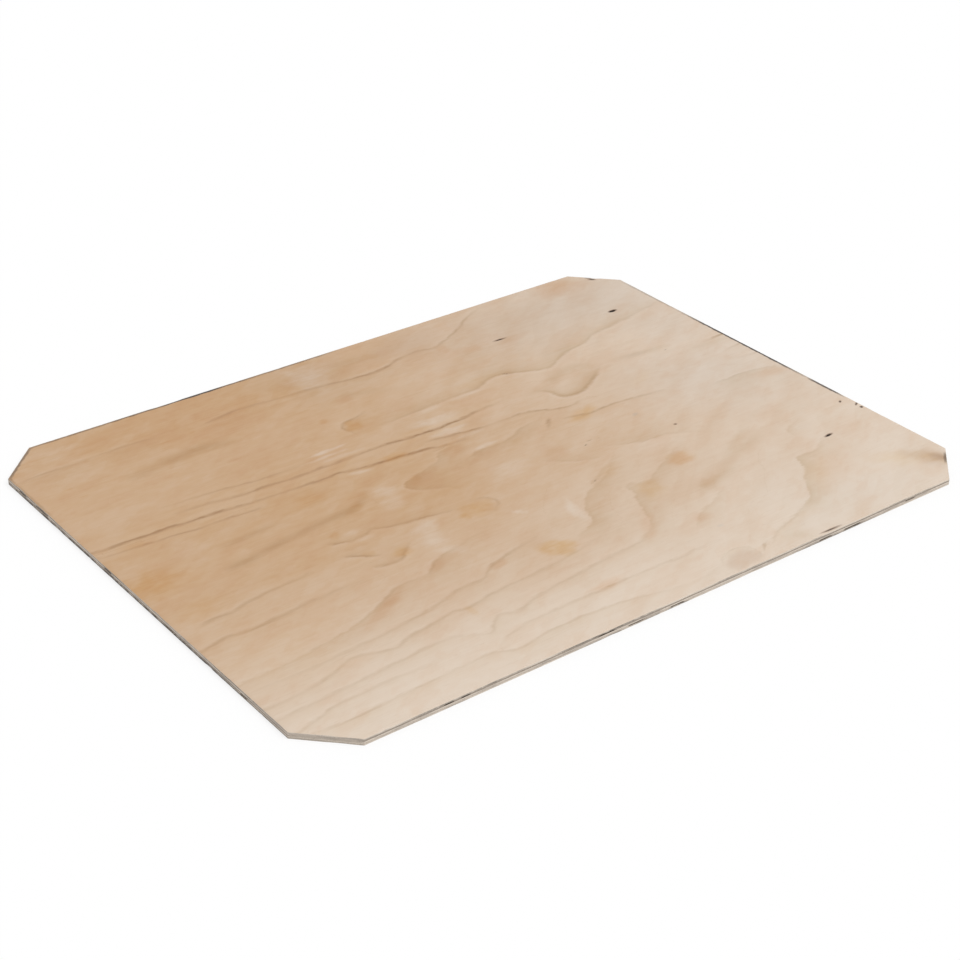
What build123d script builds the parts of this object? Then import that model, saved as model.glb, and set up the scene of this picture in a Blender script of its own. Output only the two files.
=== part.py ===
from build123d import *
import os

# Plywood sheet with its four corners cut off, lying flat. It is one board of glued veneers:
# a rectangle with a 45 degree cut at each corner and lightly eased arrises. Millimetres.
# The origin is the centre of the underside, +X runs along the length and the face grain,
# +Y across it, and +Z is up, through the thickness.

# The sheet as it is sold: plan size, thickness and the leg of each corner cut
sheet_length = 800.0
sheet_width = 600.0
sheet_thickness = 6.5
corner_cut = 45.0

# Flat that sandpaper leaves on the arris between a face and an edge
arris_ease = 0.3


def outline():
    """The sheet seen from above: a rectangle with its corners cut at 45 degrees."""
    rectangle = Rectangle(sheet_length, sheet_width)
    return chamfer(rectangle.vertices(), corner_cut)


def plywood_sheet():
    """The board: the outline through the full thickness, with the arrises of both faces eased."""
    board = extrude(outline(), sheet_thickness)
    faces_by_height = board.faces().sort_by(Axis.Z)
    arrises = faces_by_height[0].edges() + faces_by_height[-1].edges()
    return chamfer(arrises, arris_ease)


os.makedirs("parts", exist_ok=True)
export_step(plywood_sheet(), "parts/plywood_sheet.step")
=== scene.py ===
"""Looks of a birch plywood sheet with clipped corners, lying flat on a white studio floor.

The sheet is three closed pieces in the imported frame: the face veneer with its figure, the inner plies that
show as bands along the sawn edge, and the back veneer. Sizes are millimetres until a mesh is made.
"""

import logging
import math
from dataclasses import dataclass, field
from enum import Enum

import bpy
import numpy as np
from mathutils import Matrix, Vector


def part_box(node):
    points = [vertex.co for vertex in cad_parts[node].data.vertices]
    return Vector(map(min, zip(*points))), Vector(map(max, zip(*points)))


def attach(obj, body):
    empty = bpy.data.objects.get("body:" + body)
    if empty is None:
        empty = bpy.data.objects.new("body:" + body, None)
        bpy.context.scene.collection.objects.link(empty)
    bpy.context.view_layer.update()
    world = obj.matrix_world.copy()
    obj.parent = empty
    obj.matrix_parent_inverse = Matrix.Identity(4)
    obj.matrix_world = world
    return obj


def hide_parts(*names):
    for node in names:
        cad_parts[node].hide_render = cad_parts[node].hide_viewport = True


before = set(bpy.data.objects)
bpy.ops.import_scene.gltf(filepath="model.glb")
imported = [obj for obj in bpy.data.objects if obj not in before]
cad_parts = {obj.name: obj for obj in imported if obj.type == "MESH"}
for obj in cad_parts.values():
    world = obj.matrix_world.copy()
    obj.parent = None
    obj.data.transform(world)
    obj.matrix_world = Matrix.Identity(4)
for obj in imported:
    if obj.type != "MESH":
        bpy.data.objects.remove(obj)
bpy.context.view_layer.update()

NODE = "plywood_sheet"
BODY = "root"
MM = 0.001

# The map that the materials are baked to, its margin, and the gap between the folds of a rim on it
BAKE_MAP = "OFBake"
MAP_MARGIN = 0.01
FOLD_GAP = 0.08

# Width and height of a plain lid on the map
LID_SIZE = (0.10, 0.08)

# How far from a growth line a place still counts as near it, and the value that stands for no knot
FAR_OFF = 40.0
NO_KNOT = -9.0

# Rings and clouds run aslant to the grain, by this cosine and sine
SLANT = (0.8, 0.6)

# Size of the lattice behind the smooth noise, and the seeds of its draws
LATTICE = 64
SWAY_SEED = 5
DEPTH_SEED = 7
FACE_SEED = 11
BACK_SEED = 23
TEAR_SEED = 51
FACE_ARRIS_SEED = 71
BACK_ARRIS_SEED = 81
RAGGED_SEED = 91

log = logging.getLogger("plywood")
Socket = bpy.types.NodeSocket
Value = Socket | float
Colour = Socket | tuple[float, float, float, float]


class Side(Enum):
    """The side of a growth line on which its late wood fades away."""

    NEAR = -1
    BOTH = 0
    FAR = 1


class Lie(Enum):
    """Which way a veneer faces in the finished sheet."""

    UP = 1
    DOWN = -1


class Laying(Enum):
    """How a colour is laid on the wood: over it, or as a stain that lets the wood show through."""

    OVER = "MIX"
    STAIN = "MULTIPLY"


class Sum(Enum):
    """The sums that a finish works out. The last two take one value."""

    ADD = "ADD"
    SUBTRACT = "SUBTRACT"
    MULTIPLY = "MULTIPLY"
    FRACTION = "FRACT"
    SIZE = "ABSOLUTE"


def linear(hex_colour: str) -> tuple[float, float, float, float]:
    """Turns an sRGB hex colour such as "#c7a685" into the linear RGBA that the shaders take.

    Args:
        hex_colour: six hex digits after a hash sign.

    Returns:
        Linear red, green and blue from 0 to 1, and an alpha of 1.
    """
    parts = [int(hex_colour[i:i + 2], 16) / 255 for i in (1, 3, 5)]
    red, green, blue = [p / 12.92 if p <= 0.04045 else ((p + 0.055) / 1.055) ** 2.4 for p in parts]
    return red, green, blue, 1.0


def smooth_noise(x: np.ndarray, y: np.ndarray, size_x: float, size_y: float, seed: int) -> np.ndarray:
    """Gives smooth noise from -1 to 1: random heights on a lattice, joined by cubic easing.

    Args:
        x: places along the length.
        y: places across the width, of the same shape.
        size_x: lattice spacing along the length.
        size_y: lattice spacing across the width.
        seed: picks the random heights.

    Returns:
        An array of the same shape as x.
    """
    lattice = np.random.default_rng(seed).uniform(-1.0, 1.0, (LATTICE, LATTICE))
    column, row = np.floor(x / size_x).astype(int), np.floor(y / size_y).astype(int)
    part_x, part_y = x / size_x - column, y / size_y - row
    part_x, part_y = part_x ** 2 * (3 - 2 * part_x), part_y ** 2 * (3 - 2 * part_y)
    next_column, next_row = (column + 1) % LATTICE, (row + 1) % LATTICE
    column, row = column % LATTICE, row % LATTICE
    low = lattice[column, row] * (1 - part_x) + lattice[next_column, row] * part_x
    high = lattice[column, next_row] * (1 - part_x) + lattice[next_column, next_row] * part_x
    return low * (1 - part_y) + high * part_y


def eased(value: np.ndarray, start: float, end: float) -> np.ndarray:
    """Rises smoothly from 0 at start to 1 at end, with a cubic between them."""
    part = np.clip((value - start) / (end - start), 0.0, 1.0)
    return part * part * (3 - 2 * part)


def turned_aslant(x: np.ndarray, y: np.ndarray) -> tuple[np.ndarray, np.ndarray]:
    """Turns places so that they run along and across the slant of the rings."""
    return SLANT[0] * x + SLANT[1] * y, SLANT[0] * y - SLANT[1] * x


def add_node(tree: bpy.types.NodeTree, kind: str, inputs: dict[str | int, object] | None = None,
             **settings: object) -> bpy.types.Node:
    """Adds a shader node, sets its properties, and sets or links its inputs.

    Args:
        tree: the node tree that gets the node.
        kind: the node's type, without its ShaderNode prefix.
        inputs: from a socket's name or number to a value, or to the output socket that feeds it.
        settings: the node's own properties by name.

    Returns:
        The new node.
    """
    node = tree.nodes.new("ShaderNode" + kind)
    for name, value in settings.items():
        setattr(node, name, value)
    for key, value in (inputs or {}).items():
        if isinstance(value, Socket):
            tree.links.new(value, node.inputs[key])
        else:
            node.inputs[key].default_value = value
    return node


def seen_rays(tree: bpy.types.NodeTree) -> Socket:
    """Gives 1 for the rays that show a background: those from the camera, a reflection or glass.

    Args:
        tree: the node tree of the floor or the world.

    Returns:
        A value of 1 or 0.
    """
    path = add_node(tree, "LightPath")
    seen = path.outputs["Is Camera Ray"]
    for kind in ("Is Glossy Ray", "Is Transmission Ray"):
        seen = add_node(tree, "Math", {0: seen, 1: path.outputs[kind]}, operation="MAXIMUM").outputs[0]
    return seen


@dataclass(frozen=True)
class GrowthLine:
    """One growth line of the figure: an edge with a dark line on it, and late wood fading on its soft side.

    The points are given along the line, from left to right, each with its place and its depth of
    colour. The core and late values scale that depth for the dark line and for the late wood.
    """

    points: tuple[tuple[float, float, float], ...]
    fade: float = 9.0
    soft: Side = Side.NEAR
    core: float = 1.0
    blur: float = 2.4
    late: float = 1.0
    step: float = 3.0
    sway: float = 0.7
    sway_size: tuple[float, float] = (20.0, 40.0)
    unevenness: float = 0.25
    unevenness_size: tuple[float, float] = (18.0, 30.0)
    end_fade: float = 6.0
    deepest_late: float = 0.95

    def path(self) -> np.ndarray:
        """Runs a Catmull-Rom spline through the points, with a small sway across it.

        Returns:
            Rows of x, y and depth, about a step apart.
        """
        knots = np.array(self.points, dtype=float)
        ends = np.vstack([2 * knots[0] - knots[1], knots, 2 * knots[-1] - knots[-2]])
        spans = np.linalg.norm(np.diff(knots[:, :2], axis=0), axis=1)
        span = np.repeat(np.arange(len(spans)), np.maximum(np.ceil(spans / self.step).astype(int), 2))
        first = np.searchsorted(span, span)
        counts = np.bincount(span)[span]
        t = ((np.arange(len(span)) - first) / counts)[:, None]
        a, b, c, d = (ends[span + k] for k in range(4))
        curve = b + 0.5 * t * (c - a + t * (2 * a - 5 * b + 4 * c - d + t * (3 * (b - c) + d - a)))
        curve = np.vstack([curve, knots[-1]])
        curve[:, 1] += self.sway * smooth_noise(curve[:, 0], curve[:, 1], *self.sway_size, SWAY_SEED)
        uneven = smooth_noise(curve[:, 0], curve[:, 1], *self.unevenness_size, DEPTH_SEED)
        curve[:, 2] *= 1.0 + self.unevenness * uneven
        return curve

    def measure(self, x: np.ndarray, y: np.ndarray) -> tuple[np.ndarray, np.ndarray]:
        """Finds how far each place is from the line, and how deep the line is there.

        The gap is the distance to the nearest part of the path, above nought on the soft side. The depth dies
        away past the path's ends.

        Args:
            x: places along the length, flat.
            y: places across the width, flat.

        Returns:
            The gap and the depth at each place.
        """
        gap, depth = np.full_like(x, FAR_OFF), np.zeros_like(x)
        curve = self.path()
        low, high = curve[:, :2].min(axis=0) - FAR_OFF, curve[:, :2].max(axis=0) + FAR_OFF
        near = np.flatnonzero((x > low[0]) & (x < high[0]) & (y > low[1]) & (y < high[1]))
        off_x = x[near, None] - curve[None, :, 0]
        off_y = y[near, None] - curve[None, :, 1]
        spot = np.argmin(off_x ** 2 + off_y ** 2, axis=1)
        heading = np.gradient(curve[:, :2], axis=0)
        heading = (heading / np.linalg.norm(heading, axis=1)[:, None])[spot]
        pick = np.arange(len(near))
        off_x, off_y = off_x[pick, spot], off_y[pick, spot]
        across = off_y * heading[:, 0] - off_x * heading[:, 1]
        past_end = off_x * heading[:, 0] + off_y * heading[:, 1]
        at_end = (spot == 0) | (spot == len(curve) - 1)
        across = np.where(at_end, np.copysign(np.hypot(off_x, off_y), across), across)
        gap[near] = across * (self.soft.value or 1)
        depth[near] = curve[spot, 2] * np.exp(-(past_end / self.end_fade) ** 2)
        return gap, depth


@dataclass(frozen=True)
class Blotch:
    """A soft uneven oval patch of colour on a veneer."""

    x: float
    y: float
    half_length: float
    half_width: float
    depth: float
    turn: float = 0.0
    firm: float = 0.1
    soft_reach: float = 1.3
    firm_pull: float = 0.2
    swells: tuple[float, ...] = (0.12, 0.08, 0.06, 0.05)
    ragged: float = 0.16
    ragged_size: tuple[float, float] = (9.0, 6.0)

    def weight(self, x: np.ndarray, y: np.ndarray) -> np.ndarray:
        """Gives the patch's depth: full in the middle, easing to nothing past its firm part.

        The rim is an oval whose radius swells and shrinks with its angle, by a few sines of random phase.

        Args:
            x: places along the length.
            y: places across the width.

        Returns:
            The depth at each place.
        """
        turn = math.radians(self.turn)
        along = ((x - self.x) * math.cos(turn) + (y - self.y) * math.sin(turn)) / self.half_length
        across = ((y - self.y) * math.cos(turn) - (x - self.x) * math.sin(turn)) / self.half_width
        own_seed = int(abs(self.x) + 7 * abs(self.y))
        phases = np.random.default_rng(own_seed).uniform(0.0, 2 * math.pi, len(self.swells))
        angle, rim = np.arctan2(across, along), np.ones_like(along)
        for order, (swell, phase) in enumerate(zip(self.swells, phases), start=2):
            rim += swell * np.sin(order * angle + phase)
        rim += self.ragged * smooth_noise(x, y, *self.ragged_size, RAGGED_SEED)
        outer = self.soft_reach - self.firm_pull * self.firm
        return self.depth * (1 - eased(np.hypot(along, across) / rim, self.firm, outer))


@dataclass(frozen=True)
class PinKnot:
    """A pin knot or open slit: a dark oval along the grain, sunk into the veneer."""

    x: float
    y: float
    half_length: float
    half_width: float
    sink: float
    depth: float = 1.0
    slope: float = 0.0
    pale_rise: float = 2.0
    hollow_reach: tuple[float, float] = (-0.15, 0.6)

    def nearness(self, x: np.ndarray, y: np.ndarray) -> np.ndarray:
        """Gives 1 at the middle, 0 at the rim and less outside, as one minus the oval's radius."""
        rise = y - self.y - self.slope * (x - self.x)
        return 1 - np.hypot((x - self.x) / self.half_length, rise / self.half_width)

    def darkness(self, x: np.ndarray, y: np.ndarray) -> np.ndarray:
        """Gives how far inside the rim a place is, with less for a pale knot, for the finish to colour by."""
        inside = self.nearness(x, y) * min(self.half_length, self.half_width)
        return inside - self.pale_rise * (1 - self.depth)

    def hollow(self, x: np.ndarray, y: np.ndarray) -> np.ndarray:
        """Gives how far the surface is sunk: most in the middle, easing to nothing just past the rim."""
        return self.sink * eased(self.nearness(x, y), *self.hollow_reach)


@dataclass(frozen=True)
class RimMark:
    """A stretch of the rim, by its middle and half length: a chip, a gap in one ply, or a darkened stretch of
    the arris or of one ply, mostly painted shade.
    """

    x: float
    y: float
    half_length: float
    depth: float
    ply: int = 0
    full_share: float = 0.4

    def weight(self, x: np.ndarray, y: np.ndarray) -> np.ndarray:
        """Gives 1 at the middle, easing to 0 at the half length, for places on the rim."""
        away = np.hypot(x - self.x, y - self.y)
        return 1 - eased(away, self.full_share * self.half_length, self.half_length)


def deepest(marks: tuple[Blotch, ...], x: np.ndarray, y: np.ndarray) -> np.ndarray:
    """Gives the deepest of some patches at each place, and 0 where there is none."""
    return np.max([np.zeros_like(x)] + [mark.weight(x, y) for mark in marks], axis=0)


@dataclass
class SheetPlan:
    """The sheet's outline and its plies."""

    length: float
    width: float
    thickness: float
    corner_cut: float = 45.0
    ply_count: int = 5

    @property
    def ply(self) -> float:
        """The thickness of one ply."""
        return self.thickness / self.ply_count

    def half_span(self, y: np.ndarray) -> np.ndarray:
        """Gives half the sheet's length at a place across its width, less where a corner is cut off."""
        return self.length / 2 - np.maximum(0.0, np.abs(y) - (self.width / 2 - self.corner_cut))

    def rim_gap(self, x: np.ndarray, y: np.ndarray) -> np.ndarray:
        """Gives how far inside the outline a place is: its least gap to the sides and the corner cuts.

        Args:
            x: places along the length.
            y: places across the width.

        Returns:
            The gap at each place.
        """
        to_ends = self.length / 2 - np.abs(x)
        to_sides = self.width / 2 - np.abs(y)
        to_cuts = (to_ends + to_sides - self.corner_cut) / math.sqrt(2)
        return np.minimum(np.minimum(to_ends, to_sides), to_cuts)


@dataclass(frozen=True)
class Figure:
    """What one veneer shows: growth lines, patches of colour and knots, over the tone of the wood.

    The tone runs from 0 for tan wood to 1 for pale wood, by a curve along the length and one across the
    width. On the face it is partly the wood's own colour and partly painted light: painted sheen towards the
    right end and the near side, and painted shade towards the far side. Faint rings wander aslant between the
    lines, and soft clouds change the tone, level with the grain at the left end and aslant past it.
    """

    lines: tuple[GrowthLine, ...]
    stains: tuple[Blotch, ...]
    sheen_patches: tuple[Blotch, ...]
    knots: tuple[PinKnot, ...]
    tone_along: tuple[tuple[float, float], ...]
    tone_across: tuple[tuple[float, float], ...]
    seed: int
    blushes: tuple[Blotch, ...] = ()
    burns: tuple[Blotch, ...] = ()
    greys_and_shade: tuple[Blotch, ...] = ()
    rim_stains_and_shade: tuple[RimMark, ...] = ()
    ring_pitch: float = 28.0
    ring_wanders: tuple[tuple[float, float, float], ...] = ((30.0, 90.0, 60.0), (12.0, 40.0, 28.0))
    ring_patch_size: tuple[float, float] = (90.0, 70.0)
    ring_level: float = 0.45
    ring_rise: tuple[float, float] = (-160.0, 40.0)
    slant_cloud_size: tuple[float, float] = (55.0, 17.0)
    level_cloud_size: tuple[float, float] = (90.0, 26.0)
    slant_rise: tuple[float, float] = (-320.0, -120.0)
    cloud_depths: tuple[float, float] = (0.03, 0.05)
    cloud_rise: tuple[float, float] = (-250.0, 100.0)
    rim_reach: float = 20.0

    def line_fields(self, x: np.ndarray, y: np.ndarray) -> dict[str, np.ndarray]:
        """Works out the fields of the growth lines.

        The nearest line keeps its gap, so that the finish can draw its edge finely between the points. The
        late wood of all the others is joined as one minus the product of what each leaves clear.

        Args:
            x: places along the length, flat.
            y: places across the width, flat.

        Returns:
            One array for each field's name.
        """
        gap, blur, clear = np.full_like(x, FAR_OFF), np.ones_like(x), np.ones_like(x)
        late, core = np.zeros_like(x), np.zeros_like(x)
        for line in self.lines:
            own_gap, depth = line.measure(x, y)
            if line.soft is Side.BOTH:
                clear *= 1 - depth * np.exp(-(own_gap / line.fade) ** 2)
                continue
            own_late = line.late * np.minimum(depth, line.deepest_late)
            own_late = own_late * np.exp(-np.maximum(own_gap, 0.0) / line.fade)
            closer = np.abs(own_gap) < np.abs(gap)
            clear *= 1 - np.where(closer, late * (gap > 0), own_late * (own_gap > 0))
            gap = np.where(closer, own_gap, gap)
            late = np.where(closer, own_late, late)
            core = np.where(closer, depth * line.core, core)
            blur = np.where(closer, line.blur, blur)
        return {
            "line_gap": gap,
            "line_reach": np.abs(gap),
            "line_late": late,
            "line_core": core,
            "line_blur": blur,
            "late_wood": 1 - clear,
        }

    def ring_fields(self, x: np.ndarray, y: np.ndarray) -> dict[str, np.ndarray]:
        """Works out the faint rings: their count across the slant, moved by smooth noise, and their depth.

        Args:
            x: places along the length, flat.
            y: places across the width, flat.

        Returns:
            One array for each field's name.
        """
        aslant, athwart = turned_aslant(x, y)
        wander = np.zeros_like(x)
        for number, (height, size_x, size_y) in enumerate(self.ring_wanders):
            wander += height * smooth_noise(aslant, athwart, size_x, size_y, self.seed + number)
        patches = smooth_noise(x, y, *self.ring_patch_size, self.seed + 2)
        depth = np.clip(self.ring_level + patches, 0.0, 1.0) * eased(x, *self.ring_rise)
        return {"ring": (athwart + wander) / self.ring_pitch, "ring_depth": depth}

    def tone(self, x: np.ndarray, y: np.ndarray) -> np.ndarray:
        """Works out the tone: one minus the product of what both curves leave tan, plus the clouds.

        Args:
            x: places along the length, flat.
            y: places across the width, flat.

        Returns:
            The tone at each place, from about 0 to 1.
        """
        along = np.interp(x, *np.transpose(self.tone_along))
        across = np.interp(y, *np.transpose(self.tone_across))
        slant = smooth_noise(*turned_aslant(x, y), *self.slant_cloud_size, self.seed + 3)
        level = smooth_noise(x, y, *self.level_cloud_size, self.seed + 4)
        cloud = level + eased(x, *self.slant_rise) * (slant - level)
        least, more = self.cloud_depths
        return 1 - (1 - along) * (1 - across) + (least + more * eased(x, *self.cloud_rise)) * cloud

    def fields(self, x: np.ndarray, y: np.ndarray, plan: SheetPlan) -> dict[str, np.ndarray]:
        """Works out every field that the veneer's finish reads, and how far the knots are sunk.

        Args:
            x: places along the length, flat.
            y: places across the width, flat.
            plan: the sheet that the places are on.

        Returns:
            One array for each field's name.
        """
        none = np.zeros_like(x)
        return self.line_fields(x, y) | self.ring_fields(x, y) | {
            "tone": self.tone(x, y),
            "stain": deepest(self.stains, x, y),
            "blush": deepest(self.blushes, x, y),
            "burn": deepest(self.burns, x, y),
            "flash": deepest(self.sheen_patches, x, y),
            "grey": deepest(self.greys_and_shade, x, y),
            "knot": np.max([none + NO_KNOT] + [pin.darkness(x, y) for pin in self.knots], axis=0),
            "sink": np.max([none] + [pin.hollow(x, y) for pin in self.knots], axis=0),
            "scorch": np.max([none] + [mark.depth * mark.weight(x, y) for mark in self.rim_stains_and_shade], axis=0),
            "rim_gap": np.minimum(plan.rim_gap(x, y), self.rim_reach),
        }
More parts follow.
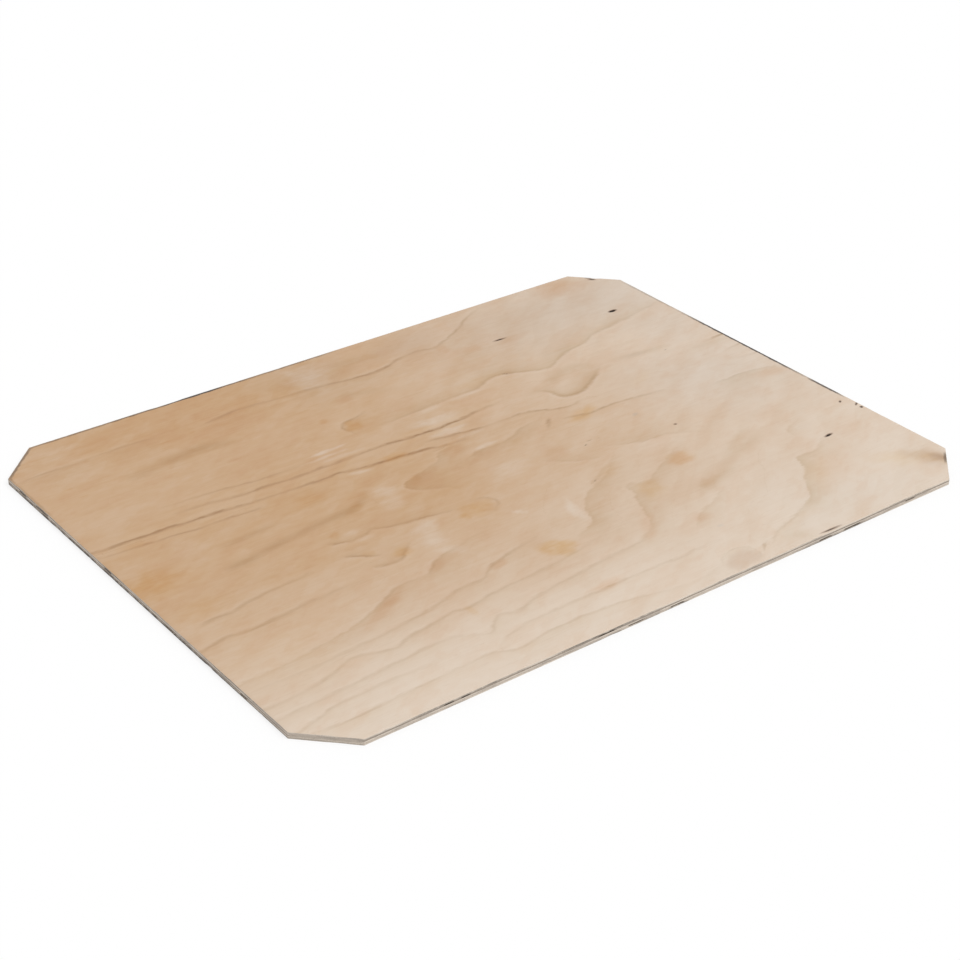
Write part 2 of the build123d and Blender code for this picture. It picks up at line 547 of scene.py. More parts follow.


# The face, read from the far edge to the near one. Places are from the sheet's middle.
FACE_LINES = (
    GrowthLine(((-398, 240, 0.3), (-372, 242.5, 0.8), (-340, 243.5, 0.8), (-312, 244.5, 0.3),
                (-285, 245, 0.75), (-255, 245, 0.6), (-240, 245, 0.1)), 13, Side.NEAR, 0.4, 2.4, 0.7),
    GrowthLine(((-184, 239, 0.2), (-160, 241.5, 0.6), (-138, 244, 0.35), (-90, 241, 0.4), (-40, 237, 0.4),
                (0, 232, 0.75), (18, 230.5, 1.0), (40, 233, 0.8), (62, 241, 0.45), (92, 244.5, 0.5),
                (110, 240, 0.3), (135, 249, 0.5), (163, 263, 0.5), (180, 276, 0.4),
                (208, 290, 0.2)), 10, Side.NEAR, 1.1, 2.6, 0.8),
    GrowthLine(((-300, 184, 0.5), (-285, 186, 0.6), (-268, 190, 0.6), (-250, 192, 0.9), (-225, 195, 1.0),
                (-205, 195, 0.9), (-188, 190, 0.5), (-176, 186, 0.1)), 8, Side.BOTH),
    GrowthLine(((-14, 268, 0.1), (15, 267, 0.5), (50, 262, 0.2)), 9, Side.BOTH),
    GrowthLine(((-45, 206, 0.1), (-20, 200, 0.5), (22, 186, 0.2)), 7, Side.BOTH),
    GrowthLine(((-310, 117, 0.1), (-250, 113, 0.4), (-200, 107, 0.5),
                (-150, 106, 0.1)), 4, Side.NEAR, 1.0, 2.0, 0.5),
    GrowthLine(((-300, 99, 0.1), (-275, 98, 0.25), (-258, 96, 0.45), (-240, 93, 0.4), (-215, 92, 0.55),
                (-190, 91, 0.4), (-165, 89.5, 0.45), (-130, 90, 0.5), (-95, 90.5, 0.5), (-60, 91, 0.7),
                (-25, 88, 1.1), (5, 87, 1.5), (30, 89, 1.1), (60, 93, 0.45),
                (95, 96, 0.1)), 4, Side.NEAR, 1.6, 2.9, 0.4),
    GrowthLine(((-402, 83, 0.6), (-385, 82, 0.75), (-350, 81.5, 0.75), (-335, 81, 0.8), (-300, 79, 0.75),
                (-275, 78, 0.95), (-240, 75, 0.5), (-215, 73, 0.25), (-180, 71.5, 0.35), (-145, 70, 0.8),
                (-130, 71, 0.75), (-105, 66, 0.65), (-80, 63.5, 0.8), (-62, 62.5, 0.7), (-45, 60, 0.75),
                (-25, 57, 0.6), (-18, 54, 0.5), (14, 52, 0.2)), 4, Side.NEAR, 1.5, 2.8, 0.5),
    GrowthLine(((-402, 73, 0.2), (-390, 70.5, 0.4), (-350, 68, 0.6), (-335, 66.5, 0.5), (-305, 63.5, 0.7),
                (-285, 62.5, 0.25), (-262, 62, 0.6), (-245, 61, 0.6),
                (-225, 60, 0.1)), 4, Side.NEAR, 1.0, 2.2, 0.5),
    GrowthLine(((-24, 71, 0.1), (-12, 70, 0.5), (5, 66.5, 0.7), (15, 66, 1.0), (30, 63.5, 0.8),
                (48, 62, 0.35), (75, 61.5, 0.35), (95, 61, 0.6), (110, 57, 0.65), (125, 50, 0.65),
                (138, 45, 0.6), (152, 44, 0.4), (164, 47, 0.1)), 6, Side.NEAR, 0.9, 2.3, 0.9),
    GrowthLine(((-40, 127, 0.1), (0, 130, 0.4), (45, 133, 0.45), (90, 134, 0.5), (108, 141, 0.6),
                (122, 145, 0.65), (140, 142, 0.8), (160, 134, 0.55), (176, 127, 0.6), (192, 128, 0.6),
                (225, 145, 0.6), (255, 150, 0.5), (280, 161, 0.5), (345, 172, 0.4),
                (390, 181, 0.15)), 13, Side.FAR, 0.5, 3.2, 1.7),
    GrowthLine(((128, 88, 0.1), (143, 87, 0.5), (150, 79, 0.75), (152, 69, 0.85), (160, 62.5, 0.95),
                (178, 62.5, 0.95), (195, 69.5, 0.9), (212, 80, 0.75),
                (228, 91, 0.3)), 8, Side.FAR, 0.4, 4.4, 1.8),
    GrowthLine(((162, 90, 0.1), (170, 102, 0.65), (190, 109, 0.7), (215, 110, 0.6),
                (230, 103, 0.1)), 7, Side.BOTH),
    GrowthLine(((252, 100, 0.1), (285, 94, 0.75), (325, 91, 0.3)), 5, Side.BOTH),
    GrowthLine(((126, 26, 0.2), (150, 20, 0.6), (165, 20, 0.6), (178, 21, 0.85), (195, 20, 0.6),
                (220, 17, 0.5), (252, 13, 0.2)), 6, Side.NEAR, 1.0, 2.8, 0.7),
    GrowthLine(((-54, -22, 0.2), (-61, -14, 0.5), (-75, -8, 0.55), (-86, -1, 0.65), (-92, 8, 0.8),
                (-88, 15, 0.85), (-76, 19.5, 0.85), (-60, 24, 0.6), (-40, 30, 0.5), (-32, 36, 0.6),
                (-27, 43, 0.65), (-15, 47, 0.6), (2, 51, 0.2)), 20, Side.NEAR, 0.12, 2.6),
    GrowthLine(((-12, 16, 0.2), (2, 22.5, 0.6), (10, 24, 0.85), (28, 25, 0.75), (46, 25.5, 0.7),
                (60, 30, 0.75), (75, 36, 0.7), (98, 40, 0.2)), 12, Side.NEAR, 0.22, 2.6, 1.1),
    GrowthLine(((98, 21, 0.3), (103, 26, 1.0), (108, 32, 0.9),
                (111, 35, 0.2)), 3, Side.NEAR, 0.9, 3.4, 0.5),
    GrowthLine(((-212, -35, 0.3), (-206, -38, 0.8), (-192, -43, 0.75), (-184, -41, 0.4), (-174, -40, 0.6),
                (-164, -37, 0.45), (-150, -42, 0.7), (-130, -46, 0.8), (-110, -48, 0.8), (-95, -51, 0.5),
                (-78, -54, 0.1)), 7, Side.FAR, 0.65, 2.4, 0.8),
    GrowthLine(((-310, -16, 0.5), (-300, -14.5, 1.0), (-285, -13, 1.0), (-272, -9.5, 0.7), (-262, -8, 0.95),
                (-248, -5, 1.0), (-232, -2.5, 0.85), (-200, 1.5, 0.75), (-170, 4, 0.95), (-160, 5, 1.0),
                (-148, 10, 0.85), (-138, 18, 0.5), (-131, 25, 0.1)), 5.5, Side.BOTH),
    GrowthLine(((-300, 20, 0.1), (-280, 22, 0.7), (-258, 24, 0.7), (-232, 28, 0.2)), 4.5, Side.BOTH),
    GrowthLine(((-380, -81, 0.2), (-366, -78, 0.85), (-345, -77.5, 0.8), (-325, -72, 0.6), (-310, -70, 0.6),
                (-285, -68, 0.45), (-262, -66, 0.4), (-250, -65, 0.1)), 6, Side.NEAR, 0.65, 3.0, 0.8),
    GrowthLine(((-402, -115, 0.7), (-385, -112, 0.85), (-370, -109, 0.7), (-340, -111, 0.7),
                (-310, -108, 0.55), (-260, -104, 0.45), (-218, -105, 0.1)), 7, Side.NEAR, 0.65, 3.2, 0.9),
    GrowthLine(((-212, -62, 0.3), (-205, -65.5, 0.85), (-196, -73, 0.9), (-188, -78, 0.5),
                (-182, -80, 0.1)), 6, Side.FAR, 0.8, 2.4),
    GrowthLine(((-198, -94, 0.5), (-185, -97, 0.8), (-172, -96.5, 0.8), (-161, -87, 0.7),
                (-150, -79, 0.2)), 8, Side.FAR, 0.7, 2.6),
    GrowthLine(((-402, -177, 0.35), (-340, -172, 0.4), (-305, -167, 0.5), (-262, -159, 0.7),
                (-236, -147.5, 0.85), (-205, -133, 0.75), (-193, -131, 0.6), (-176, -133, 0.3),
                (-168, -132, 0.6), (-160, -127, 0.85), (-149, -117, 0.8), (-130, -111, 0.45),
                (-85, -102, 0.1)), 15, Side.NEAR, 0.3, 2.6, 1.1),
    GrowthLine(((-402, -191, 0.2), (-340, -191, 0.25), (-290, -188, 0.5), (-240, -184.5, 0.6),
                (-195, -178, 0.45), (-156, -168, 0.65), (-132, -168, 0.55), (-118, -158, 0.8),
                (-104, -152, 0.8), (-80, -147, 0.6), (-45, -138, 0.15)), 9, Side.NEAR, 0.55, 3.0, 0.7),
    GrowthLine(((-402, -219, 0.5), (-350, -215, 0.5), (-322, -207, 0.5), (-298, -199, 0.55),
                (-262, -209, 0.6), (-240, -203, 0.65), (-215, -200, 0.65), (-185, -194, 0.6),
                (-170, -197, 0.6), (-130, -191, 0.6), (-66, -187, 0.45), (-28, -181, 0.4),
                (2, -175, 0.1)), 8, Side.NEAR, 0.55, 3.1, 0.7),
    GrowthLine(((-10, -161, 0.3), (8, -154, 0.65), (17, -150, 0.8), (19.5, -143, 0.85), (23, -131, 0.75),
                (35, -115, 0.8), (52, -103, 0.75), (72, -95, 0.6), (92, -83, 0.45),
                (116, -62, 0.1)), 17, Side.NEAR, 0.1, 2.8, 1.15),
    GrowthLine(((-402, -237, 0.55), (-350, -233.5, 0.55), (-290, -230, 0.5), (-240, -225.5, 0.6),
                (-222, -225, 0.4), (-205, -228, 0.3), (-185, -239, 0.3), (-176, -239, 0.7),
                (-166, -228, 0.75), (-155, -223, 0.4), (-137, -228.5, 0.6), (-112, -220, 0.6),
                (-60, -213, 0.5), (-10, -208, 0.5), (25, -205, 0.5),
                (40, -199, 0.2)), 9, Side.NEAR, 0.5, 3.1, 0.7),
    GrowthLine(((20, -206, 0.2), (46, -195, 0.7), (58, -186, 0.75), (68, -165, 0.75), (74, -147, 0.75),
                (84, -131, 0.8), (82, -122, 0.8), (91, -117, 0.75), (106, -124, 0.8), (132, -113, 0.7),
                (158, -99, 0.45), (185, -86, 0.1)), 18, Side.NEAR, 0.1, 3.0, 0.9),
    GrowthLine(((-402, -263, 0.5), (-372, -255, 0.65), (-345, -248, 0.6), (-300, -246, 0.4),
                (-235, -247, 0.1)), 7, Side.NEAR, 0.6, 3.0, 0.6),
    GrowthLine(((-185, -262, 0.1), (-160, -250, 0.4), (-110, -246, 0.4), (-62, -246, 0.8),
                (-30, -245.5, 0.7), (-15, -246, 0.4), (40, -247, 0.5),
                (90, -245, 0.1)), 6, Side.NEAR, 0.55, 2.9, 0.6),
    GrowthLine(((-384, -270, 0.4), (-345, -272, 0.8), (-310, -269, 0.7), (-250, -267, 0.6),
                (-198, -265.5, 0.6), (-175, -274, 0.8), (-135, -269, 0.8), (-70, -270, 0.9),
                (-35, -276, 0.6), (18, -286, 0.2), (58, -282, 0.3), (70, -273, 0.4), (86, -268, 0.45),
                (101, -271, 0.4), (106, -280, 0.35), (104, -292, 0.2)), 10, Side.NEAR, 0.42, 2.3, 0.6),
    GrowthLine(((112, -285, 0.3), (116, -281, 0.9), (122, -277, 0.2)), 3, Side.NEAR, 1.2, 2.2, 0.5),
    GrowthLine(((128, -280, 0.3), (145, -268, 0.7), (175, -260, 0.7), (198, -251, 0.6),
                (214, -244, 0.1)), 6, Side.NEAR, 0.4, 3.0, 0.7),
    GrowthLine(((192, -255, 0.2), (205, -248, 0.75), (220, -240, 0.85), (228, -227, 0.9), (240, -212, 0.9),
                (255, -197, 0.9), (261, -182, 0.9), (270, -178, 0.8), (292, -177, 0.5),
                (325, -156, 0.1)), 16, Side.NEAR, 0.1, 3.2, 1.2),
    GrowthLine(((142, -280, 0.2), (156, -283, 0.5), (168, -295, 0.2)), 7, Side.BOTH),
    GrowthLine(((140, -166, 0.3), (150, -165, 0.85), (165, -160, 0.6), (182, -155, 0.6), (212, -138, 0.55),
                (244, -126, 0.55), (280, -115, 0.1)), 8, Side.BOTH),
    GrowthLine(((212, -130, 0.2), (236, -116, 0.55), (266, -102, 0.2)), 7, Side.BOTH),
    GrowthLine(((294, -142, 0.2), (297, -130, 0.6), (318, -121, 0.15)), 9, Side.NEAR, 0.2, 2.6),
    GrowthLine(((52, -33, 0.2), (72, -47, 0.55), (98, -58, 0.2)), 14, Side.FAR, 0.2, 2.8),
    GrowthLine(((126, -47, 0.2), (155, -58, 0.6), (192, -65, 0.55),
                (218, -79, 0.2)), 14, Side.FAR, 0.2, 2.8),
    GrowthLine(((302, -8, 0.1), (325, -9.5, 0.55), (350, -9, 0.6),
                (388, -15, 0.5)), 16, Side.NEAR, 0.25, 2.6, 1.2),
    GrowthLine(((92, -214, 0.3), (104, -204, 0.65), (116, -196.5, 0.6), (134, -191, 0.5),
                (160, -178, 0.1)), 13, Side.NEAR, 0.15, 2.6),
    GrowthLine(((62, -93, 0.7), (72, -87, 0.6), (88, -79, 0.4), (106, -75, 0.1)), 10, Side.NEAR, 0.15, 2.8),
    GrowthLine(((-58, -48, 0.1), (-45, -51, 0.5), (-37, -58, 0.7), (-36, -67, 0.6), (-44, -76, 0.4),
                (-54, -79, 0.1)), 6, Side.NEAR, 0.5, 2.4, 0.4),
    GrowthLine(((-72, 132, 0.4), (-75, 145, 0.8), (-68, 154, 0.9), (-54, 156, 0.8),
                (-36, 162, 0.2)), 6, Side.NEAR, 0.6, 2.2, 0.6),
    GrowthLine(((366, 73, 0.1), (385, 74, 0.7), (402, 75, 0.8)), 4, Side.NEAR, 1.2, 2.2, 0.6),
    GrowthLine(((335, 68, 0.1), (365, 66, 0.4), (402, 64, 0.3)), 5, Side.BOTH),
    GrowthLine(((368, 43, 0.1), (402, 46, 0.5)), 4, Side.NEAR, 1.2, 2.0, 0.5),
    GrowthLine(((372, 20, 0.1), (402, 19, 0.5)), 4, Side.NEAR, 1.2, 2.0, 0.5),
)

FACE_STAINS = (
    Blotch(-62, 143, 13, 12, 1.1, 20, 0.5),
    Blotch(-63, 152, 8, 4, 1.2, 15, 0.5),
    Blotch(-66, 65, 18, 6.5, 1.3, -8, 0.4),
    Blotch(-10, 53, 12, 3, 0.6, -5, 0.4),
    Blotch(-12, 41, 18, 9, 0.4, 10, 0.5),
    Blotch(-60, -65, 23, 14, 1.0, 8, 0.45),
    Blotch(-77, -70, 8, 7, 1.3, 0, 0.4),
    Blotch(-62, -61, 9, 6, 1.25, 0, 0.4),
    Blotch(-42, -167, 20, 17, 1.1, -8, 0.55),
    Blotch(-38, -165, 13, 11, 1.4, 0, 0.2),
    Blotch(147, 22, 23, 11, 1.15, 25, 0.3),
    Blotch(165, -109, 17, 14, 0.65, 20, 0.45),
    Blotch(-381, 3, 38, 30, 1.2, 0, 0.15),
    Blotch(-352, -4, 26, 26, 0.4, 0, 0.1),
    Blotch(-340, -150, 100, 60, 0.28, 0, 0.0),
    Blotch(101, -136, 21, 17, 0.7, 20, 0.3),
    Blotch(-164, -86, 11, 11, 1.1, 20, 0.35),
    Blotch(-156, 6, 15, 6, 0.7, 20, 0.4),
    Blotch(-136, 20, 8, 5, 0.4, 40, 0.3),
    Blotch(352, -242, 34, 20, 0.5, -20, 0.2),
    Blotch(374, -258, 32, 15, 0.8, -48, 0.2),
    Blotch(340, 288, 30, 14, 0.25, 0, 0.1),
    Blotch(-182, 45, 20, 12, 0.7, 15, 0.3),
    Blotch(-355, 70, 20, 5, 0.6, -5, 0.3),
    Blotch(-364, -58, 28, 18, 0.55, 0, 0.2),
    Blotch(-240, 193, 52, 10, 0.35, 5, 0.3),
    Blotch(-83, 169, 6, 5, 0.7, 0, 0.5),
    Blotch(-200, -25, 7, 5, 0.7, 0, 0.5),
    Blotch(-191, -70, 8, 5, 0.5, 0, 0.4),
    Blotch(-171, -202, 5, 9, 0.5, 0, 0.4),
    Blotch(40, 264, 12, 8, 0.5, 0, 0.5),
    Blotch(250, 47, 20, 8, 0.35, 25, 0.3),
    Blotch(90, -86, 18, 9, 0.35, 25, 0.1),
    Blotch(-79, 15, 13, 8, 0.6, 15, 0.4),
    Blotch(258, -210, 36, 14, 0.3, 52, 0.2),
    Blotch(100, 147, 42, 10, 0.4, 8, 0.2),
    Blotch(-362, 201, 5, 1.6, 0.8, 0, 0.5),
    Blotch(-355, 180, 5, 1.4, 0.6, 0, 0.5),
    Blotch(-237, 228, 6, 1.6, 0.8, 5, 0.5),
    Blotch(-205, 230, 5, 1.6, 0.7, 5, 0.5),
    Blotch(-262, 167, 6, 1.5, 0.6, 0, 0.5),
    Blotch(-370, 272, 26, 12, 0.2, 0, 0.2),
)

FACE_BLUSHES = (
    Blotch(-46, -243, 22, 8, 0.9, 0, 0.3),
    Blotch(-232, -154, 34, 9, 1.0, 27, 0.4),
    Blotch(-152, -124, 14, 7, 0.8, 40, 0.4),
    Blotch(-105, -157, 14, 6, 0.8, 18, 0.5),
    Blotch(328, 282, 46, 24, 1.2, -8, 0.2),
    Blotch(118, 231, 10, 12, 0.8, -20, 0.4),
    # This broad patch and the next darken the far side: painted shade
    Blotch(95, 262, 90, 46, 0.45, 0, 0.0),
    Blotch(-200, 235, 110, 60, 0.3, 0, 0.0),
    Blotch(126, 216, 18, 10, 0.5, 0, 0.2),
    Blotch(143, 213, 14, 10, 0.75, 0, 0.4),
    Blotch(195, 206, 24, 9, 0.7, 5, 0.2),
    Blotch(-185, 258, 10, 7, 0.7, 0, 0.4),
    Blotch(-200, 155, 8, 5, 0.6, 0, 0.4),
    Blotch(-38, 196, 11, 8, 0.8, 0, 0.4),
    Blotch(-112, 40, 17, 9, 0.5, 15, 0.3),
    Blotch(372, -24, 26, 11, 0.8, -8, 0.3),
    Blotch(338, -55, 12, 14, 0.5, 0, 0.2),
    Blotch(362, -66, 34, 14, 0.3, 15, 0.1),
    Blotch(308, -90, 34, 10, 0.6, 28, 0.2),
    Blotch(282, 36, 14, 8, 0.5, 0, 0.2),
    Blotch(-66, 7, 22, 13, 0.35, 10, 0.4),
    Blotch(-10, 39, 19, 9, 0.5, 10, 0.6),
    Blotch(15, 14, 26, 8, 0.45, 5, 0.2),
    Blotch(68, -26, 18, 17, 0.5, 20, 0.4),
    Blotch(-105, -65, 7, 6, 0.5, 0, 0.3),
    Blotch(54, -187, 30, 10, 0.9, 55, 0.2),
    Blotch(46, -199, 14, 7, 0.9, 30, 0.3),
    Blotch(106, -207, 13, 7, 0.7, 10, 0.4),
    Blotch(282, -202, 56, 27, 0.75, 50, 0.1),
    Blotch(240, -116, 22, 8, 0.5, 30, 0.2),
    Blotch(154, -160, 14, 9, 0.4, 20, 0.2),
    Blotch(190, -148, 56, 10, 0.5, 24, 0.2),
    Blotch(164, -110, 16, 13, 1.0, 25, 0.45),
    Blotch(85, -285, 21, 15, 0.85, 0, 0.5),
    Blotch(356, -165, 22, 12, 0.3, 0, 0.2),
    Blotch(-299, -206, 20, 7, 0.5, 0, 0.3),
)

FACE_BURNS = (
    Blotch(385, -267, 22, 13, 1.0, -48, 0.1),
    Blotch(375, -258, 30, 20, 0.4, -48, 0.1),
)

# Pale bluish patches on the face: painted sheen and highlights
FACE_SHEEN_PATCHES = (
    Blotch(-116, 115, 24, 3.2, 1.2, 2, 0.4),
    Blotch(-122, 106, 26, 3.2, 0.9, 2, 0.3),
    Blotch(-110, 98, 30, 4, 0.8, 0, 0.2),
    Blotch(-110, 60, 18, 3.5, 0.9, -6, 0.4),
    Blotch(10, 103, 30, 9, 1.0, 0, 0.2),
    Blotch(24, 125, 26, 4, 0.6, 3, 0.3),
    Blotch(74, 129, 30, 4, 0.6, 3, 0.3),
    Blotch(10, 76, 24, 6, 1.05, -3, 0.3),
    Blotch(26, 58, 24, 3.5, 0.7, 0, 0.3),
    Blotch(-114, 14, 16, 18, 0.6, 30, 0.2),
    Blotch(-120, -8, 18, 12, 0.55, 15, 0.2),
    Blotch(-122, -64, 20, 13, 0.85, 20, 0.2),
    Blotch(-128, -84, 17, 14, 0.9, -10, 0.2),
    Blotch(-124, -110, 17, 9, 0.8, -40, 0.2),
    Blotch(22, 29.5, 17, 3.6, 0.75, 6, 0.4),
    Blotch(15, -122, 8, 21, 1.2, -18, 0.4),
    Blotch(45, -150, 18, 30, 0.4, -20, 0.2),
    Blotch(12, -20, 22, 16, 0.55, 15, 0.2),
    Blotch(-323, 40, 16, 28, 0.4, 5, 0.1),
    Blotch(-42, 262, 42, 26, 1.0, 60, 0.1),
    Blotch(-178, -46, 13, 3.5, 0.6, 4, 0.2),
    Blotch(-185, -30, 10, 4, 0.5, 0, 0.3),
    Blotch(-32, -93.5, 11, 3.2, 0.9, -40, 0.2),
    Blotch(235, -273, 85, 20, 0.9, 0, 0.3),
    Blotch(165, -72, 44, 13, 0.5, -20, 0.2),
    Blotch(196, -215, 34, 24, 0.5, 40, 0.3),
    Blotch(312, -134, 14, 9, 0.5, 0, 0.2),
    Blotch(330, 15, 150, 100, 0.85, 0, 0.0),
    Blotch(262, -260, 76, 40, 1.2, 0, 0.1),
    Blotch(-365, 255, 70, 50, 0.4, 0, 0.0),
)

# Cool grey stains: the broad patches darken the far side and the right end as painted shade, the small ones
# are grey marks in the wood
FACE_GREYS_AND_SHADE = (
    Blotch(310, 235, 230, 110, 1.0, 0, 0.0),
    Blotch(-40, 258, 80, 60, 0.6, 0, 0.0),
    Blotch(320, 10, 140, 100, 0.5, 0, 0.0),
    Blotch(368, 142, 90, 64, 0.6, 0, 0.0),
    Blotch(100, 262, 70, 50, 0.7, 0, 0.0),
    Blotch(191, -11, 5, 3, 1.5, 0, 0.4),
    Blotch(285, 94, 20, 6, 0.5, -8, 0.3),
    Blotch(109, -229, 4, 2.5, 0.8, 0, 0.4),
    Blotch(85, -285, 21, 15, 0.7, 0, 0.6),
)

FACE_KNOTS = (
    PinKnot(184, 213, 8.0, 1.5, 0.5, 0.85, -0.05),
    PinKnot(336, 195, 5.4, 2.3, 1.2),
    PinKnot(323, -164, 5.0, 1.6, 0.8, 1.0, 0.1),
    PinKnot(210.5, -52, 2.4, 1.6, 0.4, 0.75),
    PinKnot(318.5, 83.5, 2.4, 0.9, 0.3, 0.6),
    PinKnot(387, -119, 2.2, 1.7, 0.6, 0.8, 0.4),
    PinKnot(397.2, -133, 2.6, 1.2, 0.5, 0.95, 0.6),
    PinKnot(396.6, -141, 1.8, 1.6, 0.6, 1.0),
    PinKnot(190, -296.6, 10.0, 1.1, 0.5, 0.95, -0.03),
    PinKnot(137, 143, 3.8, 1.2, 0.2, 0.7, -0.5),
    PinKnot(106, -31, 5.0, 1.3, 0.2, 0.4, 0.3),
    PinKnot(115, -26, 6.0, 1.3, 0.2, 0.4),
    PinKnot(127, -28, 4.0, 1.2, 0.2, 0.4, -0.2),
    PinKnot(372.5, 275.5, 3.4, 1.6, 0.4, 0.9, -0.7),
    PinKnot(67, -92, 4.0, 1.6, 0.2, 0.35, 0.5),
)

# A dark line along the rim: painted shade along the far edges, and a stain at the near right corner
FACE_RIM_STAINS_AND_SHADE = (
    RimMark(-165, 300, 60, 1.0),
    RimMark(-180, 300, 150, 0.7),
    RimMark(-40, 300, 70, 0.5),
    RimMark(-310, 300, 70, 0.5),
    RimMark(400, 45, 125, 1.0),
    RimMark(400, 200, 60, 0.3),
    RimMark(400, -85, 34, 0.9),
    RimMark(386, -269, 14, 0.6),
    RimMark(-378, 278, 50, 0.6),
    RimMark(374, 281, 8, 0.7),
    RimMark(-400, 205, 50, 0.2),
)

# Chips of the arris, gaps in the plies under it and dark stretches of single plies, by place on the rim. The
# dark stretches are painted shade: the contact shadow at the foot of the edge and the shade under the face's
# arris
FACE_CHIPS = (
    RimMark(378, 277, 6, 1.6),
    RimMark(-196, 300, 26, 1.0),
    RimMark(-400, 228, 12, 0.9),
    RimMark(-400, -40, 7, 0.8),
    RimMark(60, -300, 9, 0.7),
    RimMark(-378, -278, 8, 0.8),
)

CORE_GAPS = (
    RimMark(-268, -300, 6, 1.6, 3),
    RimMark(-251, -300, 5, 1.6, 3),
    RimMark(-95, -300, 11, 2.6, 3),
    RimMark(-60, -300, 12, 2.2, 1),
    RimMark(-11, -300, 9, 2.6, 1),
    RimMark(180, -300, 10, 2.0, 1),
    RimMark(217, -300, 14, 2.4, 1),
    RimMark(298, -300, 8, 2.4, 2),
    RimMark(-400, 224, 9, 2.2, 3),
    RimMark(-400, 184, 15, 2.6, 3),
    RimMark(-400, 51, 8, 2.6, 3),
    RimMark(-400, -62, 8, 2.0, 1),
    RimMark(-400, -186, 6, 2.4, 1),
    RimMark(400, 60, 18, 2.6, 2),
    RimMark(400, -150, 10, 2.4, 2),
    RimMark(-120, 300, 14, 2.6, 3),
    RimMark(170, 300, 9, 2.2, 1),
)

# Painted shade on single plies: the contact shadow on the lowest plies, the shade just under the face on the
# top one
DARK_PLIES = (
    RimMark(-250, -300, 90, 0.6, 4),
    RimMark(-95, -300, 80, 0.8, 4),
    RimMark(60, -300, 60, 0.35, 4),
    RimMark(300, -300, 40, 0.5, 4),
    RimMark(-60, -300, 60, 0.6, 0),
    RimMark(-10, -300, 18, 0.9, 0),
    RimMark(195, -300, 60, 0.65, 0),
    RimMark(-400, 40, 300, 1.3, 0),
    RimMark(-400, -20, 60, 0.8, 0),
    RimMark(-400, 60, 300, 1.1, 1),
    RimMark(-400, 190, 80, 0.7, 4),
    RimMark(-400, 45, 40, 0.6, 4),
    RimMark(-400, -170, 60, 0.4, 4),
    RimMark(384, -271, 22, 0.4, 4),
)

# The tone, from 0 for tan to 1 for pale, by place along the length and across the width. It is partly
# the wood's own colour, partly painted sheen to the right and near side and painted shade to the far side
FACE_TONE_ALONG = ((-400, 0.09), (-200, 0.05), (-50, 0.07), (100, 0.34), (250, 0.58), (400, 0.80))
FACE_TONE_ACROSS = ((-300, 0.97), (-250, 0.88), (-150, 0.43), (-50, 0.11), (50, 0.05), (150, 0.12),
                    (250, 0.0))

# The back, with a plainer figure
BACK_LINES = (
    GrowthLine(((-402, 232, 0.5), (-250, 240, 0.6), (-60, 228, 0.5), (120, 236, 0.6),
                (402, 246, 0.5)), 10, Side.FAR),
    GrowthLine(((-402, 170, 0.4), (-220, 160, 0.6), (-20, 176, 0.6), (180, 168, 0.4),
                (402, 182, 0.6)), 9, Side.FAR),
    GrowthLine(((-402, 118, 0.6), (-260, 106, 0.5), (-120, 112, 0.6), (60, 98, 0.6), (250, 112, 0.5),
                (402, 108, 0.6)), 8),
    GrowthLine(((-402, 40, 0.5), (-250, 52, 0.6), (-80, 38, 0.7), (30, 46, 0.6), (200, 30, 0.5),
                (402, 44, 0.5)), 10),
    GrowthLine(((-402, -34, 0.6), (-240, -22, 0.6), (-90, -40, 0.6), (80, -26, 0.5), (402, -36, 0.6)), 12),
    GrowthLine(((-402, -96, 0.5), (-220, -108, 0.6), (-30, -92, 0.5), (160, -104, 0.7),
                (402, -98, 0.5)), 9, Side.FAR),
    GrowthLine(((-402, -158, 0.5), (-200, -150, 0.6), (0, -164, 0.6), (210, -150, 0.5),
                (402, -166, 0.6)), 11),
    GrowthLine(((-402, -214, 0.6), (-180, -222, 0.5), (40, -210, 0.6), (230, -224, 0.6),
                (402, -214, 0.5)), 8),
    GrowthLine(((-380, -266, 0.5), (-160, -258, 0.6), (90, -270, 0.5), (380, -262, 0.6)), 8, Side.FAR),
)

BACK_STAINS = (
    Blotch(-210, 80, 40, 12, 0.35),
    Blotch(150, -60, 30, 16, 0.4),
    Blotch(290, 210, 36, 14, 0.35),
    Blotch(-120, -190, 26, 14, 0.45),
)

# Pale patches on the back, painted sheen as on the face
BACK_SHEEN_PATCHES = (
    Blotch(-60, 130, 40, 26, 0.4),
    Blotch(240, -20, 30, 40, 0.4),
    Blotch(-280, -130, 30, 34, 0.4),
)

BACK_KNOTS = (
    PinKnot(-150, 200, 6.0, 2.2, 0.5),
    PinKnot(84, 64, 4.5, 2.4, 0.4, 0.85),
    PinKnot(262, -182, 7.0, 2.6, 0.6),
    PinKnot(-318, -68, 3.6, 2.0, 0.3, 0.75),
)

BACK_CHIPS = (
    RimMark(-90, -300, 9, 0.9),
    RimMark(400, 190, 8, 1.1),
    RimMark(140, 300, 10, 1.0),
    RimMark(-400, -130, 7, 0.9),
)

BACK_TONE_ALONG = ((-400, 0.1), (0, 0.3), (400, 0.2))
BACK_TONE_ACROSS = ((-300, 0.3), (0, 0.1), (300, 0.4))

# Columns and rows of each veneer's grid
FACE_GRID = (270, 330)
BACK_GRID = (160, 300)


